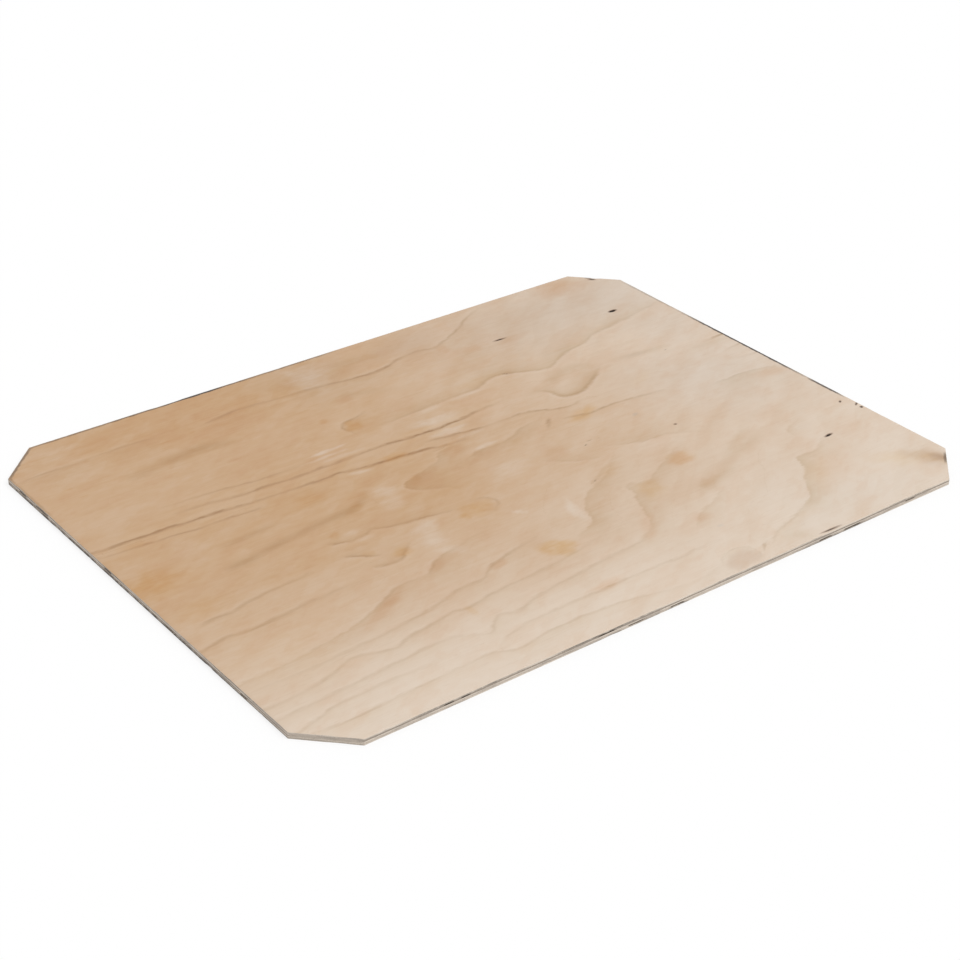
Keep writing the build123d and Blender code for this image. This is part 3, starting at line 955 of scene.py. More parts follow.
@dataclass
class RimLines:
    """The lines of a mesh round the sheet: columns along the length, rows across it and stations on the rim.

    Columns stand closer where the knots are. Stations run anticlockwise from the near left corner, one where
    each column or row meets the outline.
    """

    plan: SheetPlan
    columns: int
    rows: int
    close_to: tuple[float, ...] = ()
    crowding: float = 0.4
    crowding_reach: float = 10.0
    samples: int = 4001
    fade_rows: int = 10
    fade_power: float = 1.5
    x: np.ndarray = field(init=False)
    y: np.ndarray = field(init=False)
    at: tuple[np.ndarray, np.ndarray] = field(init=False)
    rim_x: np.ndarray = field(init=False)
    rim_y: np.ndarray = field(init=False)
    out_x: np.ndarray = field(init=False)
    out_y: np.ndarray = field(init=False)

    def __post_init__(self) -> None:
        """Lays out the columns by a running sum of their closeness, the rows evenly, and the stations."""
        plan = self.plan
        fine = np.linspace(-1.0, 1.0, self.samples)
        closeness = np.ones_like(fine)
        for place in self.close_to:
            away = (fine - 2 * place / plan.length) * plan.length / 2
            closeness += self.crowding * np.exp(-(away / self.crowding_reach) ** 2)
        total = np.concatenate([[0.0], np.cumsum(closeness[1:] + closeness[:-1])])
        across = np.interp(np.linspace(0.0, total[-1], self.columns + 1), total, fine)
        cut_rows = round(self.rows * plan.corner_cut / plan.width)
        inner = plan.width / 2 - plan.corner_cut
        tip = np.linspace(inner, plan.width / 2, cut_rows + 1)
        middle = np.linspace(-inner, inner, self.rows - 2 * cut_rows + 1)[1:-1]
        y = np.concatenate([-tip[::-1], middle, tip])
        self.x = across[None, :] * plan.half_span(y)[:, None]
        self.y = np.repeat(y[:, None], self.columns + 1, axis=1)
        last_row, last_column = self.rows, self.columns
        row = np.concatenate([np.zeros(last_column, int), np.arange(last_row),
                              np.full(last_column, last_row), np.arange(last_row, 0, -1)])
        column = np.concatenate([np.arange(last_column), np.full(last_row, last_column),
                                 np.arange(last_column, 0, -1), np.zeros(last_row, int)])
        self.at = (row, column)
        self.rim_x, self.rim_y = self.x[self.at], self.y[self.at]
        self.out_x, self.out_y = self.outward()

    def outward(self) -> tuple[np.ndarray, np.ndarray]:
        """Works out the direction out of the outline, square to the line through a station's neighbours.

        Returns:
            The direction's x and y at each station.
        """
        ahead_x = np.roll(self.rim_x, -1) - np.roll(self.rim_x, 1)
        ahead_y = np.roll(self.rim_y, -1) - np.roll(self.rim_y, 1)
        run = np.hypot(ahead_x, ahead_y)
        return ahead_y / run, -ahead_x / run

    def along(self) -> np.ndarray:
        """Gives the distance round the rim at each station."""
        steps = np.hypot(np.diff(self.rim_x), np.diff(self.rim_y))
        return np.concatenate([[0.0], np.cumsum(steps)])

    def drawn_in(self, inset: np.ndarray) -> tuple[np.ndarray, np.ndarray]:
        """Draws the grid in from the outline by an inset at each station, which dies away over some rows.

        Args:
            inset: how far in the rim is drawn at each station.

        Returns:
            The grid's moved x and y.
        """
        rim_inset = np.zeros_like(self.x)
        rim_inset[self.at] = inset
        down = np.clip(1 - np.arange(self.rows + 1) / self.fade_rows, 0.0, 1.0)[:, None] ** self.fade_power
        left = np.clip(1 - np.arange(self.columns + 1) / self.fade_rows, 0.0, 1.0)[None, :] ** self.fade_power
        at_cut = np.abs(self.y[:, :1]) > self.plan.width / 2 - self.plan.corner_cut
        aslant = np.where(at_cut, math.sqrt(2), 1.0)
        move_y = rim_inset[:1] * down - rim_inset[-1:] * down[::-1]
        move_x = aslant * (rim_inset[:, :1] * left - rim_inset[:, -1:] * left[:, ::-1])
        return self.x + move_x, self.y + move_y

    def ring(self, inset: np.ndarray, z: np.ndarray | float) -> np.ndarray:
        """Gives one ring of points round the rim, drawn in from the outline by an inset, at a height."""
        heights = np.broadcast_to(np.asarray(z, dtype=float), self.rim_x.shape)
        return np.stack([self.rim_x - self.out_x * inset, self.rim_y - self.out_y * inset, heights], axis=1)


@dataclass
class SawnEdge:
    """The sawn edge of the sheet: saw marks, glue lines, chips of the arrises and gaps in the plies."""

    plan: SheetPlan
    ease: float = 0.3
    wear: float = 0.35
    wear_size: float = 60.0
    nick: float = 0.5
    nick_size: float = 7.0
    nick_level: float = 0.62
    end_grain_shares: tuple[float, ...] = (1.0, 0.35, 1.0, 1.0, 0.7)
    glue_groove: float = 0.12
    saw_mark: float = 0.05
    mark_pitch: float = 5.5
    mark_lean: float = 0.8
    tear: float = 0.10
    tear_size: float = 3.2
    tear_rise: float = 3.0
    tear_step: float = 7.0
    side_tear: float = 0.4

    def arris(self, lines: RimLines, chips: tuple[RimMark, ...], seed: int) -> np.ndarray:
        """Gives how far the arris is eased at each station: a sanded flat, small nicks and the chips.

        Args:
            lines: the stations.
            chips: the larger chips, listed one by one.
            seed: picks the nicks.

        Returns:
            The width of the eased arris.
        """
        along, level = lines.along(), np.zeros_like(lines.rim_x)
        nicks = smooth_noise(along, level, self.nick_size, 1.0, seed)
        wear = smooth_noise(along, level, self.wear_size, 1.0, seed + 1)
        nicks = np.maximum(0.0, nicks - self.nick_level) / (1 - self.nick_level)
        width = self.ease * (1.0 + self.wear * wear) + self.nick * nicks
        own = [chip.depth * chip.weight(lines.rim_x, lines.rim_y) for chip in chips]
        return np.max([width] + own, axis=0)

    def marks(self, marks: tuple[RimMark, ...], lines: RimLines, ply: int, deep: bool = True) -> np.ndarray:
        """Gives the deepest of one ply's marks at each station.

        Args:
            marks: the marks of all the plies.
            lines: the stations.
            ply: the ply, from 0 at the bottom.
            deep: whether each mark counts by its depth, or as 1.

        Returns:
            The depth at each station, 0 where there is no mark.
        """
        own = [m for m in marks if m.ply == ply]
        weights = [(m.depth if deep else 1.0) * m.weight(lines.rim_x, lines.rim_y) for m in own]
        return np.max([np.zeros_like(lines.rim_x)] + weights, axis=0)

    def hollow(self, lines: RimLines, z: float, ply: int) -> np.ndarray:
        """Gives how far the sawn edge lies behind the outline at one height.

        Saw marks lean along the edge, torn fibre is rough noise, and a gap in the ply is a deep hollow.

        Args:
            lines: the stations.
            z: the height.
            ply: the ply at that height, from 0 at the bottom.

        Returns:
            The inset at each station.
        """
        along = lines.along()
        ripple = 0.5 + 0.5 * np.sin(2 * math.pi * (along + self.mark_lean * z) / self.mark_pitch)
        level = np.full_like(along, self.tear_rise * z + self.tear_step * ply)
        torn = 0.5 + 0.5 * smooth_noise(along, level, self.tear_size, 1.0, TEAR_SEED + ply)
        torn_share = self.side_tear + (1 - self.side_tear) * self.end_grain(lines, ply)
        inset = self.saw_mark * ripple + self.tear * torn * torn_share
        return np.maximum(inset, self.marks(CORE_GAPS, lines, ply))

    def end_grain(self, lines: RimLines, ply: int) -> np.ndarray:
        """Gives how much a ply shows its end grain: its share of the squared direction along its grain."""
        return self.end_grain_shares[ply] * (lines.out_x ** 2 if ply % 2 == 0 else lines.out_y ** 2)

    def fields(self, lines: RimLines, ply: int, glue: float) -> dict[str, np.ndarray]:
        """Works out the fields that the edge's finish reads, for one ring of stations.

        Args:
            lines: the stations.
            ply: the ply, from 0 at the bottom.
            glue: how much of the ring is glue.

        Returns:
            One array for each field's name.
        """
        level = np.ones_like(lines.rim_x)
        return {
            "end_grain": self.end_grain(lines, ply),
            "cross_ply": level * (ply % 2),
            "glue": level * glue,
            "gap": self.marks(CORE_GAPS, lines, ply, deep=False) * (1 - glue),
            "soot": self.marks(DARK_PLIES, lines, ply),
        }


@dataclass
class MeshParts:
    """The parts of a mesh while it is worked out: points, faces, their places on the map and their finish."""

    points: list[np.ndarray] = field(default_factory=list)
    fields: dict[str, list[np.ndarray]] = field(default_factory=dict)
    corners: list[np.ndarray] = field(default_factory=list)
    sizes: list[np.ndarray] = field(default_factory=list)
    maps: list[np.ndarray] = field(default_factory=list)
    finishes: list[np.ndarray] = field(default_factory=list)
    count: int = 0

    def add_points(self, points: np.ndarray, fields: dict[str, np.ndarray]) -> np.ndarray:
        """Adds points with their fields, a missing field being 0.

        Args:
            points: rows of x, y and z.
            fields: one value a point for each name.

        Returns:
            The points' numbers in the mesh.
        """
        for name in set(self.fields) | set(fields):
            own = fields.get(name, np.zeros(len(points)))
            self.fields.setdefault(name, [np.zeros(self.count)] if self.count else []).append(own)
        self.points.append(points)
        self.count += len(points)
        return np.arange(self.count - len(points), self.count)

    def add_faces(self, faces: np.ndarray, places: np.ndarray, finish: int) -> None:
        """Adds faces that all have one number of corners.

        Args:
            faces: one row of point numbers for each face.
            places: each corner's place on the map, in the same order.
            finish: the number of the faces' finish.
        """
        self.corners.append(faces.ravel())
        self.sizes.append(np.full(len(faces), faces.shape[1]))
        self.maps.append(places.reshape(-1, 2))
        self.finishes.append(np.full(len(faces), finish))

    def make(self, name: str, materials: list[bpy.types.Material]) -> bpy.types.Object:
        """Makes the Blender object in metres, with its fields as attributes and its map for baking.

        Args:
            name: the piece's name.
            materials: the finishes, in the order of their numbers.

        Returns:
            The object, at the origin.
        """
        points, corners = np.concatenate(self.points) * MM, np.concatenate(self.corners)
        sizes, finishes = np.concatenate(self.sizes), np.concatenate(self.finishes)
        mesh = bpy.data.meshes.new(name)
        mesh.vertices.add(len(points))
        mesh.vertices.foreach_set("co", points.astype(np.float32).ravel())
        mesh.loops.add(len(corners))
        mesh.loops.foreach_set("vertex_index", corners.astype(np.int32))
        mesh.polygons.add(len(sizes))
        mesh.polygons.foreach_set("loop_start", (np.cumsum(sizes) - sizes).astype(np.int32))
        for material in materials:
            mesh.materials.append(material)
        mesh.polygons.foreach_set("material_index", finishes.astype(np.int32))
        mesh.update(calc_edges=True)
        mesh.polygons.foreach_set("use_smooth", finishes == 0)
        for field_name, values in self.fields.items():
            layer = mesh.attributes.new(field_name, "FLOAT", "POINT")
            layer.data.foreach_set("value", np.concatenate(values).astype(np.float32))
        bake_map = mesh.uv_layers.new(name=BAKE_MAP)
        bake_map.data.foreach_set("uv", np.concatenate(self.maps).astype(np.float32).ravel())
        mesh.validate()
        piece = bpy.data.objects.new(name, mesh)
        bpy.context.scene.collection.objects.link(piece)
        return piece


def band_faces(rings: np.ndarray, low: float, high: float, folds: int = 4) -> tuple[np.ndarray, np.ndarray]:
    """Joins rings of point numbers into a band of four-cornered faces that look out of the rim.

    The band's map is the rim folded into a few rows, one above the other.

    Args:
        rings: one row of point numbers for each ring, from the top down.
        low: the map's lowest place for the band.
        high: its highest.
        folds: into how many rows the rim is folded.

    Returns:
        The faces and their corners' places on the map.
    """
    levels, stations = rings.shape
    after = np.roll(rings, -1, axis=1)
    faces = np.stack([rings[1:], after[1:], after[:-1], rings[:-1]], axis=2).reshape(-1, 4)
    station = np.arange(stations)
    fold = station * folds // stations
    start = np.searchsorted(fold, fold)
    run = np.bincount(fold)[fold]
    wide = 1 - 2 * MAP_MARGIN
    u = MAP_MARGIN + wide * (station - start) / run
    next_u = MAP_MARGIN + wide * (station - start + 1) / run
    down = (1 - 2 * FOLD_GAP) * np.arange(levels)[:, None] / (levels - 1)
    heights = low + (high - low) / folds * (fold[None, :] + 1 - FOLD_GAP - down)
    top, bottom = heights[:-1], heights[1:]
    u, next_u = np.broadcast_to(u, top.shape), np.broadcast_to(next_u, top.shape)
    places = np.stack([u, bottom, next_u, bottom, next_u, top, u, top], axis=2)
    return faces, places.reshape(-1, 4, 2)


def lid_face(ring: np.ndarray, points: np.ndarray, plan: SheetPlan,
             corner: tuple[float, float]) -> tuple[np.ndarray, np.ndarray]:
    """Closes a ring with one flat face, mapped to a small part of the map.

    Args:
        ring: the ring's point numbers, in the order that makes the face look outwards.
        points: the ring's points in the same order.
        plan: the sheet, for its size.
        corner: the lower left corner of that part.

    Returns:
        The face and its corners' places on the map.
    """
    u = corner[0] + LID_SIZE[0] * (points[:, 0] / plan.length + 0.5)
    v = corner[1] + LID_SIZE[1] * (points[:, 1] / plan.width + 0.5)
    return ring[None, :], np.stack([u, v], axis=1)[None]


@dataclass(frozen=True)
class Noise:
    """Noise in a finish, by the size of its lumps in millimetres along X, Y and Z and its finer layers.

    Each finer layer is as strong as the roughness says. The shift moves the noise to a part of its own, and
    the turn is about the sheet's upright axis, in degrees.
    """

    size: tuple[float, float, float]
    detail: float
    rough: float = 0.5
    shift: float = 0.0
    turn: float = 0.0


@dataclass(frozen=True)
class Step:
    """A smooth step: what runs from low to high becomes start to end, and stays within them."""

    low: float
    high: float
    start: float = 0.0
    end: float = 1.0


class FinishTree:
    """A material under construction, with the few steps that the finishes share."""

    def __init__(self, name: str) -> None:
        """Makes the material with an empty node tree that reads Object coordinates.

        Args:
            name: the material's name.
        """
        self.material = bpy.data.materials.new(name)
        self.material.use_nodes = True
        self.tree = self.material.node_tree
        self.tree.nodes.clear()
        self.place = add_node(self.tree, "TexCoord").outputs["Object"]

    def field(self, name: str) -> Socket:
        """Reads one of the piece's fields."""
        return add_node(self.tree, "Attribute", attribute_name=name).outputs["Fac"]

    def noise(self, noise: Noise) -> Socket:
        """Adds noise.

        Args:
            noise: its size and kind.

        Returns:
            Its value, from 0 to 1 around 0.5.
        """
        inputs = {"Vector": self.place, "Location": (noise.shift,) * 3,
                  "Rotation": (0.0, 0.0, math.radians(noise.turn)),
                  "Scale": tuple(s * MM for s in noise.size)}
        drawn = add_node(self.tree, "Mapping", inputs, vector_type="TEXTURE").outputs[0]
        inputs = {"Vector": drawn, "Scale": 1.0, "Detail": noise.detail, "Roughness": noise.rough}
        return add_node(self.tree, "TexNoise", inputs).outputs["Fac"]

    def between(self, value: Socket, low: Value, high: Value, start: float = 0.0, end: float = 1.0) -> Socket:
        """Maps a value from low and high to start and end, with a smooth step that stays within them."""
        ends = {0: value, 1: low, 2: high, 3: start, 4: end}
        return add_node(self.tree, "MapRange", ends, interpolation_type="SMOOTHSTEP").outputs[0]

    def step(self, value: Socket, step: Step) -> Socket:
        """Maps a value by one of a finish's own smooth steps."""
        return self.between(value, step.low, step.high, step.start, step.end)

    def sum(self, first: Value, second: Value = 0.0, how: Sum = Sum.ADD) -> Socket:
        """Works out one sum."""
        return add_node(self.tree, "Math", {0: first, 1: second}, operation=how.value).outputs[0]

    def product(self, *values: Value) -> Value:
        """Multiplies values together.

        Args:
            values: the values, at least one.

        Returns:
            Their product.
        """
        total = values[0]
        for value in values[1:]:
            total = self.sum(total, value, Sum.MULTIPLY)
        return total

    def tint(self, base: Colour, colour: str, share: Value, laying: Laying = Laying.OVER) -> Socket:
        """Lays a colour on another by a share.

        Args:
            base: the colour that is there.
            colour: the hex colour that is laid on it.
            share: how much of it is laid, kept from 0 to 1.
            laying: over the base, or as a stain.

        Returns:
            The mixed colour.
        """
        inputs = {0: share, 6: base, 7: linear(colour)}
        settings = {"data_type": "RGBA", "clamp_factor": True, "blend_type": laying.value}
        return add_node(self.tree, "Mix", inputs, **settings).outputs[2]

    def surface(self, colour: Socket, roughness: Value, relief: Socket, height: float, ior: float,
                strength: float = 0.5) -> bpy.types.Material:
        """Closes the tree with a surface.

        Args:
            colour: the surface's colour.
            roughness: its roughness.
            relief: the shape of its fine relief.
            height: the relief's height in millimetres.
            ior: the surface's index of refraction.
            strength: how much the relief turns the light.

        Returns:
            The finished material.
        """
        bump = add_node(self.tree, "Bump", {"Height": relief, "Distance": height * MM, "Strength": strength})
        inputs = {"Base Color": colour, "Roughness": roughness, "IOR": ior, "Normal": bump.outputs[0]}
        shader = add_node(self.tree, "BsdfPrincipled", inputs)
        add_node(self.tree, "OutputMaterial", {"Surface": shader.outputs[0]})
        return self.material


@dataclass(frozen=True)
class BirchVeneer:
    """Rotary-cut birch, sanded and bare: pale wood, soft tan growth lines, fine fibre and a faint sheen.

    Real birch fibre and pores are a tenth of a millimetre wide, too fine for the picture, so both are drawn
    about ten times as wide. The clouds and flecks run aslant to the grain.
    """

    name: str
    tan_wood: str = "#be966a"
    # The pale end of the tone: partly the wood's own colour, partly painted sheen
    pale_wood_and_sheen: str = "#decdbb"
    late_wood: str = "#e3dac5"
    growth_line: str = "#b3944a"
    early_wood: str = "#e4c8a2"
    stain: str = "#f7e6c1"
    blush: str = "#f4e0cd"
    # A cool grey stain, for grey marks in the wood and for painted shade
    grey: str = "#e9eff7"
    burn: str = "#86562a"
    # A pale bluish white for the painted sheen and highlights, also laid as pale clouds, pale fibre and the
    # pale side of the lines
    flash: str = "#ddd0c2"
    pore: str = "#a3866a"
    knot_rim: str = "#5b3a1e"
    knot: str = "#1c0d04"
    # The dark brown of the rim line, mostly painted shade
    scorch: str = "#33261c"
    late_share: float = 0.55
    pale_side_share: float = 0.30
    line_share: float = 0.47
    grey_and_shade_share: float = 0.5
    blush_share: float = 0.5
    burn_share: float = 0.5
    line_width: float = 1.3
    edge_blur: tuple[float, float] = (-1.0, 0.5)
    fibre_noise: Noise = Noise((60.0, 1.4, 1.4), 5.0, 0.62)
    streak_noise: Noise = Noise((240.0, 9.0, 9.0), 3.0, shift=3.7)
    pore_noise: Noise = Noise((10.0, 0.9, 0.9), 1.0, shift=8.1)
    lump_noise: Noise = Noise((14.0, 7.0, 7.0), 2.0, shift=5.3)
    cloud_noise: Noise = Noise((60.0, 26.0, 26.0), 3.0, shift=11.9, turn=24.0)
    fleck_noise: Noise = Noise((26.0, 11.0, 11.0), 3.0, 0.55, shift=21.3, turn=30.0)
    ragged_noise: Noise = Noise((12.0, 4.0, 4.0), 2.0, 0.6, shift=1.7)
    ragged_feather: Step = Step(0.3, 0.7, -0.6, 0.6)
    lump_feather: Step = Step(0.3, 0.7, -0.5, 0.5)
    faint_feather: Step = Step(0.08, 0.3, 1.7, 1.0)
    ring_rise: Step = Step(0.1, 0.9, 0.0, 0.12)
    ring_fall: Step = Step(1.0, 0.93)
    pale_side: Step = Step(-9.0, -0.5, 0.0, 0.4)
    line_reach: Step = Step(7.0, 4.5)
    line_breaks: Step = Step(0.36, 0.60, 0.5, 1.05)
    margin_start: Step = Step(2.0, 5.0)
    margin_reach: Step = Step(12.0, 6.0, 0.0, 0.04)
    streak_tone: Step = Step(0.3, 0.7, -0.02, 0.02)
    lump_tone: Step = Step(0.3, 0.7, -0.025, 0.025)
    sheen_lumps: Step = Step(0.3, 0.7, 0.26, 0.38)
    stain_lumps: Step = Step(0.3, 0.7, 0.72, 0.48)
    warm_clouds: Step = Step(0.50, 0.62, 0.0, 0.16)
    warm_flecks: Step = Step(0.53, 0.60, 0.0, 0.10)
    pale_clouds: Step = Step(0.47, 0.37, 0.0, 0.07)
    open_pores: Step = Step(0.64, 0.80, 0.0, 0.12)
    dark_fibre: Step = Step(0.52, 0.80, 0.0, 0.08)
    pale_fibre: Step = Step(0.48, 0.20, 0.0, 0.03)
    knot_lip: Step = Step(-1.2, 0.2, 0.0, 0.75)
    knot_heart: Step = Step(0.0, 0.5)
    rim_stain_and_shade_reach: Step = Step(4.0, 2.0)
    fibre_gloss: Step = Step(0.3, 0.7, 0.47, 0.58)
    knot_gloss: Step = Step(-0.2, 0.4, 0.0, 0.4)
    pore_relief: Step = Step(0.6, 0.78, 0.0, -0.5)
    fibre_height: float = 0.06
    ior: float = 1.5

    def build(self) -> bpy.types.Material:
        """Builds the finish as a material."""
        return BirchTree(self).finished()


class BirchTree(FinishTree):
    """The material of a birch veneer under construction: its noise, and its colour from the ground up."""

    def __init__(self, look: BirchVeneer) -> None:
        """Adds the noise that the colour, gloss and relief draw on.

        Args:
            look: the finish that is built.
        """
        super().__init__(look.name)
        self.look = look
        self.fibre = self.noise(look.fibre_noise)
        self.streak = self.noise(look.streak_noise)
        self.pores = self.noise(look.pore_noise)
        self.lumps = self.noise(look.lump_noise)
        self.clouds = self.noise(look.cloud_noise)
        self.flecks = self.noise(look.fleck_noise)
        self.ragged = self.noise(look.ragged_noise)
        self.gap = self.feathered_gap()

    def feathered_gap(self) -> Socket:
        """Feathers the distance from the nearest line, and more so where the line itself is faint.

        Returns:
            The feathered distance, above 0 on the line's soft side.
        """
        feather = self.sum(self.step(self.ragged, self.look.ragged_feather),
                           self.step(self.lumps, self.look.lump_feather))
        faintness = self.step(self.field("line_core"), self.look.faint_feather)
        return self.sum(self.field("line_gap"), self.product(feather, faintness))

    def late(self) -> Socket:
        """Works out the late wood's depth: the nearest line's own edge and fade, joined with all the others.

        Returns:
            The depth, from a little under 0 beside a line's sharp edge to 1.
        """
        look, blur, amount = self.look, self.field("line_blur"), self.field("line_late")
        start, end = (self.product(blur, share) for share in look.edge_blur)
        edge = self.between(self.gap, start, end)
        own = self.product(amount, edge)
        part = self.sum(self.field("ring"), how=Sum.FRACTION)
        ring = self.product(self.step(part, look.ring_rise), self.step(part, look.ring_fall),
                            self.field("ring_depth"))
        rest = self.sum(self.field("late_wood"), ring)
        both = self.sum(self.sum(rest, own), self.product(rest, own), Sum.SUBTRACT)
        beside = self.product(self.step(self.gap, look.pale_side), self.sum(1.0, edge, Sum.SUBTRACT))
        return self.sum(both, self.product(amount, beside), Sum.SUBTRACT)

    def dark_line(self) -> Socket:
        """Works out the depth of the dark line along the edge, from 0 to about 1, broken up by lumps."""
        wide = self.product(self.field("line_blur"), self.look.line_width)
        return self.product(self.between(self.sum(self.gap, how=Sum.SIZE), wide, 0.0),
                            self.step(self.field("line_reach"), self.look.line_reach),
                            self.step(self.lumps, self.look.line_breaks),
                            self.field("line_core"))

    def margin(self) -> Socket:
        """Works out the share of pale early wood a few millimetres off a line, on both of its sides."""
        return self.product(self.step(self.sum(self.gap, how=Sum.SIZE), self.look.margin_start),
                            self.step(self.field("line_reach"), self.look.margin_reach),
                            self.field("line_core"))

    def ground(self) -> Socket:
        """Lays the tone and its patches: painted sheen and highlights, grey stains with painted shade,
        clouds, blushes and stains.

        Returns:
            The colour under the growth lines.
        """
        look = self.look
        tone = self.sum(self.field("tone"), self.step(self.streak, look.streak_tone))
        tone = self.sum(tone, self.step(self.lumps, look.lump_tone))
        flash = self.product(self.field("flash"), self.step(self.lumps, look.sheen_lumps))
        grey = self.product(self.field("grey"), look.grey_and_shade_share)
        warm = self.sum(self.step(self.clouds, look.warm_clouds), self.step(self.flecks, look.warm_flecks))
        blush = self.sum(self.product(self.field("blush"), look.blush_share), warm)
        stain = self.product(self.field("stain"), self.step(self.lumps, look.stain_lumps))
        # Tan to pale by the tone; on the face the pale is partly painted sheen and the tan far side partly
        # painted shade
        base = self.tint(linear(look.tan_wood), look.pale_wood_and_sheen, tone)
        # Painted sheen and highlights in pale patches
        base = self.tint(base, look.flash, flash)
        # Grey marks, and painted shade over the far side and the right end
        base = self.tint(base, look.grey, grey, Laying.STAIN)
        base = self.tint(base, look.flash, self.step(self.clouds, look.pale_clouds))
        base = self.tint(base, look.blush, blush, Laying.STAIN)
        return self.tint(base, look.stain, stain, Laying.STAIN)

    def lined(self, base: Socket) -> Socket:
        """Lays the growth lines on the wood: late wood, the pale side beside it, partly a painted highlight,
        early wood and dark lines.

        Args:
            base: the colour so far.

        Returns:
            The colour with the lines.
        """
        look, late = self.look, self.late()
        dark = self.product(self.dark_line(), look.line_share)
        base = self.tint(base, look.late_wood, self.product(late, look.late_share), Laying.STAIN)
        # The pale side beside a line's sharp edge: pale early wood, partly a painted highlight
        base = self.tint(base, look.flash, self.product(late, -look.pale_side_share))
        base = self.tint(base, look.early_wood, self.margin())
        return self.tint(base, look.growth_line, dark, Laying.STAIN)

    def marked(self, base: Socket) -> Socket:
        """Lays the finer marks: burns, pores, fibre, knots and the dark rim, painted shade with a stain at
        one corner.

        Args:
            base: the colour so far.

        Returns:
            The finished colour.
        """
        look, knot = self.look, self.field("knot")
        rim_gap = self.sum(self.field("rim_gap"), self.step(self.lumps, look.lump_feather))
        # The dark rim line: painted shade along the far edges, a stain at one corner
        scorch = self.product(self.field("scorch"), self.step(rim_gap, look.rim_stain_and_shade_reach))
        base = self.tint(base, look.burn, self.product(self.field("burn"), look.burn_share))
        base = self.tint(base, look.pore, self.step(self.pores, look.open_pores))
        base = self.tint(base, look.growth_line, self.step(self.fibre, look.dark_fibre), Laying.STAIN)
        base = self.tint(base, look.flash, self.step(self.fibre, look.pale_fibre))
        base = self.tint(base, look.knot_rim, self.step(knot, look.knot_lip))
        base = self.tint(base, look.knot, self.step(knot, look.knot_heart))
        return self.tint(base, look.scorch, scorch)

    def finished(self) -> bpy.types.Material:
        """Lays every layer of the colour, then closes the material with its gloss and relief.

        Returns:
            The material.
        """
        look = self.look
        colour = self.marked(self.lined(self.ground()))
        gloss = self.step(self.fibre, look.fibre_gloss)
        gloss = self.sum(gloss, self.step(self.field("knot"), look.knot_gloss))
        relief = self.sum(self.fibre, self.step(self.pores, look.pore_relief))
        return self.surface(colour, gloss, relief, look.fibre_height, look.ior)


@dataclass(frozen=True)
class SawnPlies:
    """Sawn birch plies, greyed by handling: pale side grain, darker end grain and brown glue lines."""

    name: str
    side_grain: str = "#d5c9bb"
    end_grain: str = "#988a7c"
    glue: str = "#5d4f43"
    # Near black inside the gaps in the plies: painted shade in the hollows
    gap: str = "#2e251f"
    # Dark brown for the painted shade on single plies
    soot: str = "#463d35"
    grime: str = "#8b8178"
    along_noise: Noise = Noise((26.0, 0.7, 0.7), 3.0)
    across_noise: Noise = Noise((0.7, 26.0, 0.7), 3.0)
    grime_noise: Noise = Noise((24.0, 24.0, 2.5), 4.0, 0.6)
    broken_noise: Noise = Noise((9.0, 9.0, 9.0), 3.0, 0.6, shift=2.9)
    dark_fibre: Step = Step(0.52, 0.75, 0.0, 0.35)
    pale_fibre: Step = Step(0.46, 0.25, 0.0, 0.5)
    grime_spread: Step = Step(0.46, 0.66, 0.0, 0.5)
    ply_shade_breaks: Step = Step(0.34, 0.6, 0.25, 0.9)
    glue_depth: Step = Step(0.2, 0.9, 0.0, 0.8)
    glue_breaks: Step = Step(0.3, 0.62, 0.35, 1.0)
    gap_depth: Step = Step(0.2, 0.8, 0.0, 0.92)
    roughness: float = 0.68
    fibre_height: float = 0.1
    ior: float = 1.5

    def build(self) -> bpy.types.Material:
        """Builds the finish: noise drawn out along each ply's own grain, with the sawn edge's fields over it.

        Returns:
            The material.
        """
        finish = FinishTree(self.name)
        along, across = finish.noise(self.along_noise), finish.noise(self.across_noise)
        fibre = add_node(finish.tree, "Mix", {0: finish.field("cross_ply"), 2: along, 3: across}).outputs[0]
        grime = finish.step(finish.noise(self.grime_noise), self.grime_spread)
        broken = finish.noise(self.broken_noise)
        # Painted shade on single plies, broken up by noise
        soot = finish.product(finish.field("soot"), finish.step(broken, self.ply_shade_breaks))
        glue = finish.product(finish.step(finish.field("glue"), self.glue_depth),
                              finish.step(broken, self.glue_breaks))
        base = finish.tint(linear(self.side_grain), self.end_grain, finish.field("end_grain"))
        base = finish.tint(base, self.glue, finish.step(fibre, self.dark_fibre))
        base = finish.tint(base, self.side_grain, finish.step(fibre, self.pale_fibre))
        base = finish.tint(base, self.grime, grime)
        base = finish.tint(base, self.soot, soot)
        base = finish.tint(base, self.glue, glue)
        # Painted shade inside the gaps in the plies
        base = finish.tint(base, self.gap, finish.step(finish.field("gap"), self.gap_depth))
        return finish.surface(base, self.roughness, fibre, self.fibre_height, self.ior)


def place_in_sheet(piece: bpy.types.Object) -> None:
    """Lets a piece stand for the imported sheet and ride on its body.

    Args:
        piece: the finished piece.
    """
    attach(piece, BODY)
    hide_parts(NODE)
    log.info("%s: %d faces", piece.name, len(piece.data.polygons))


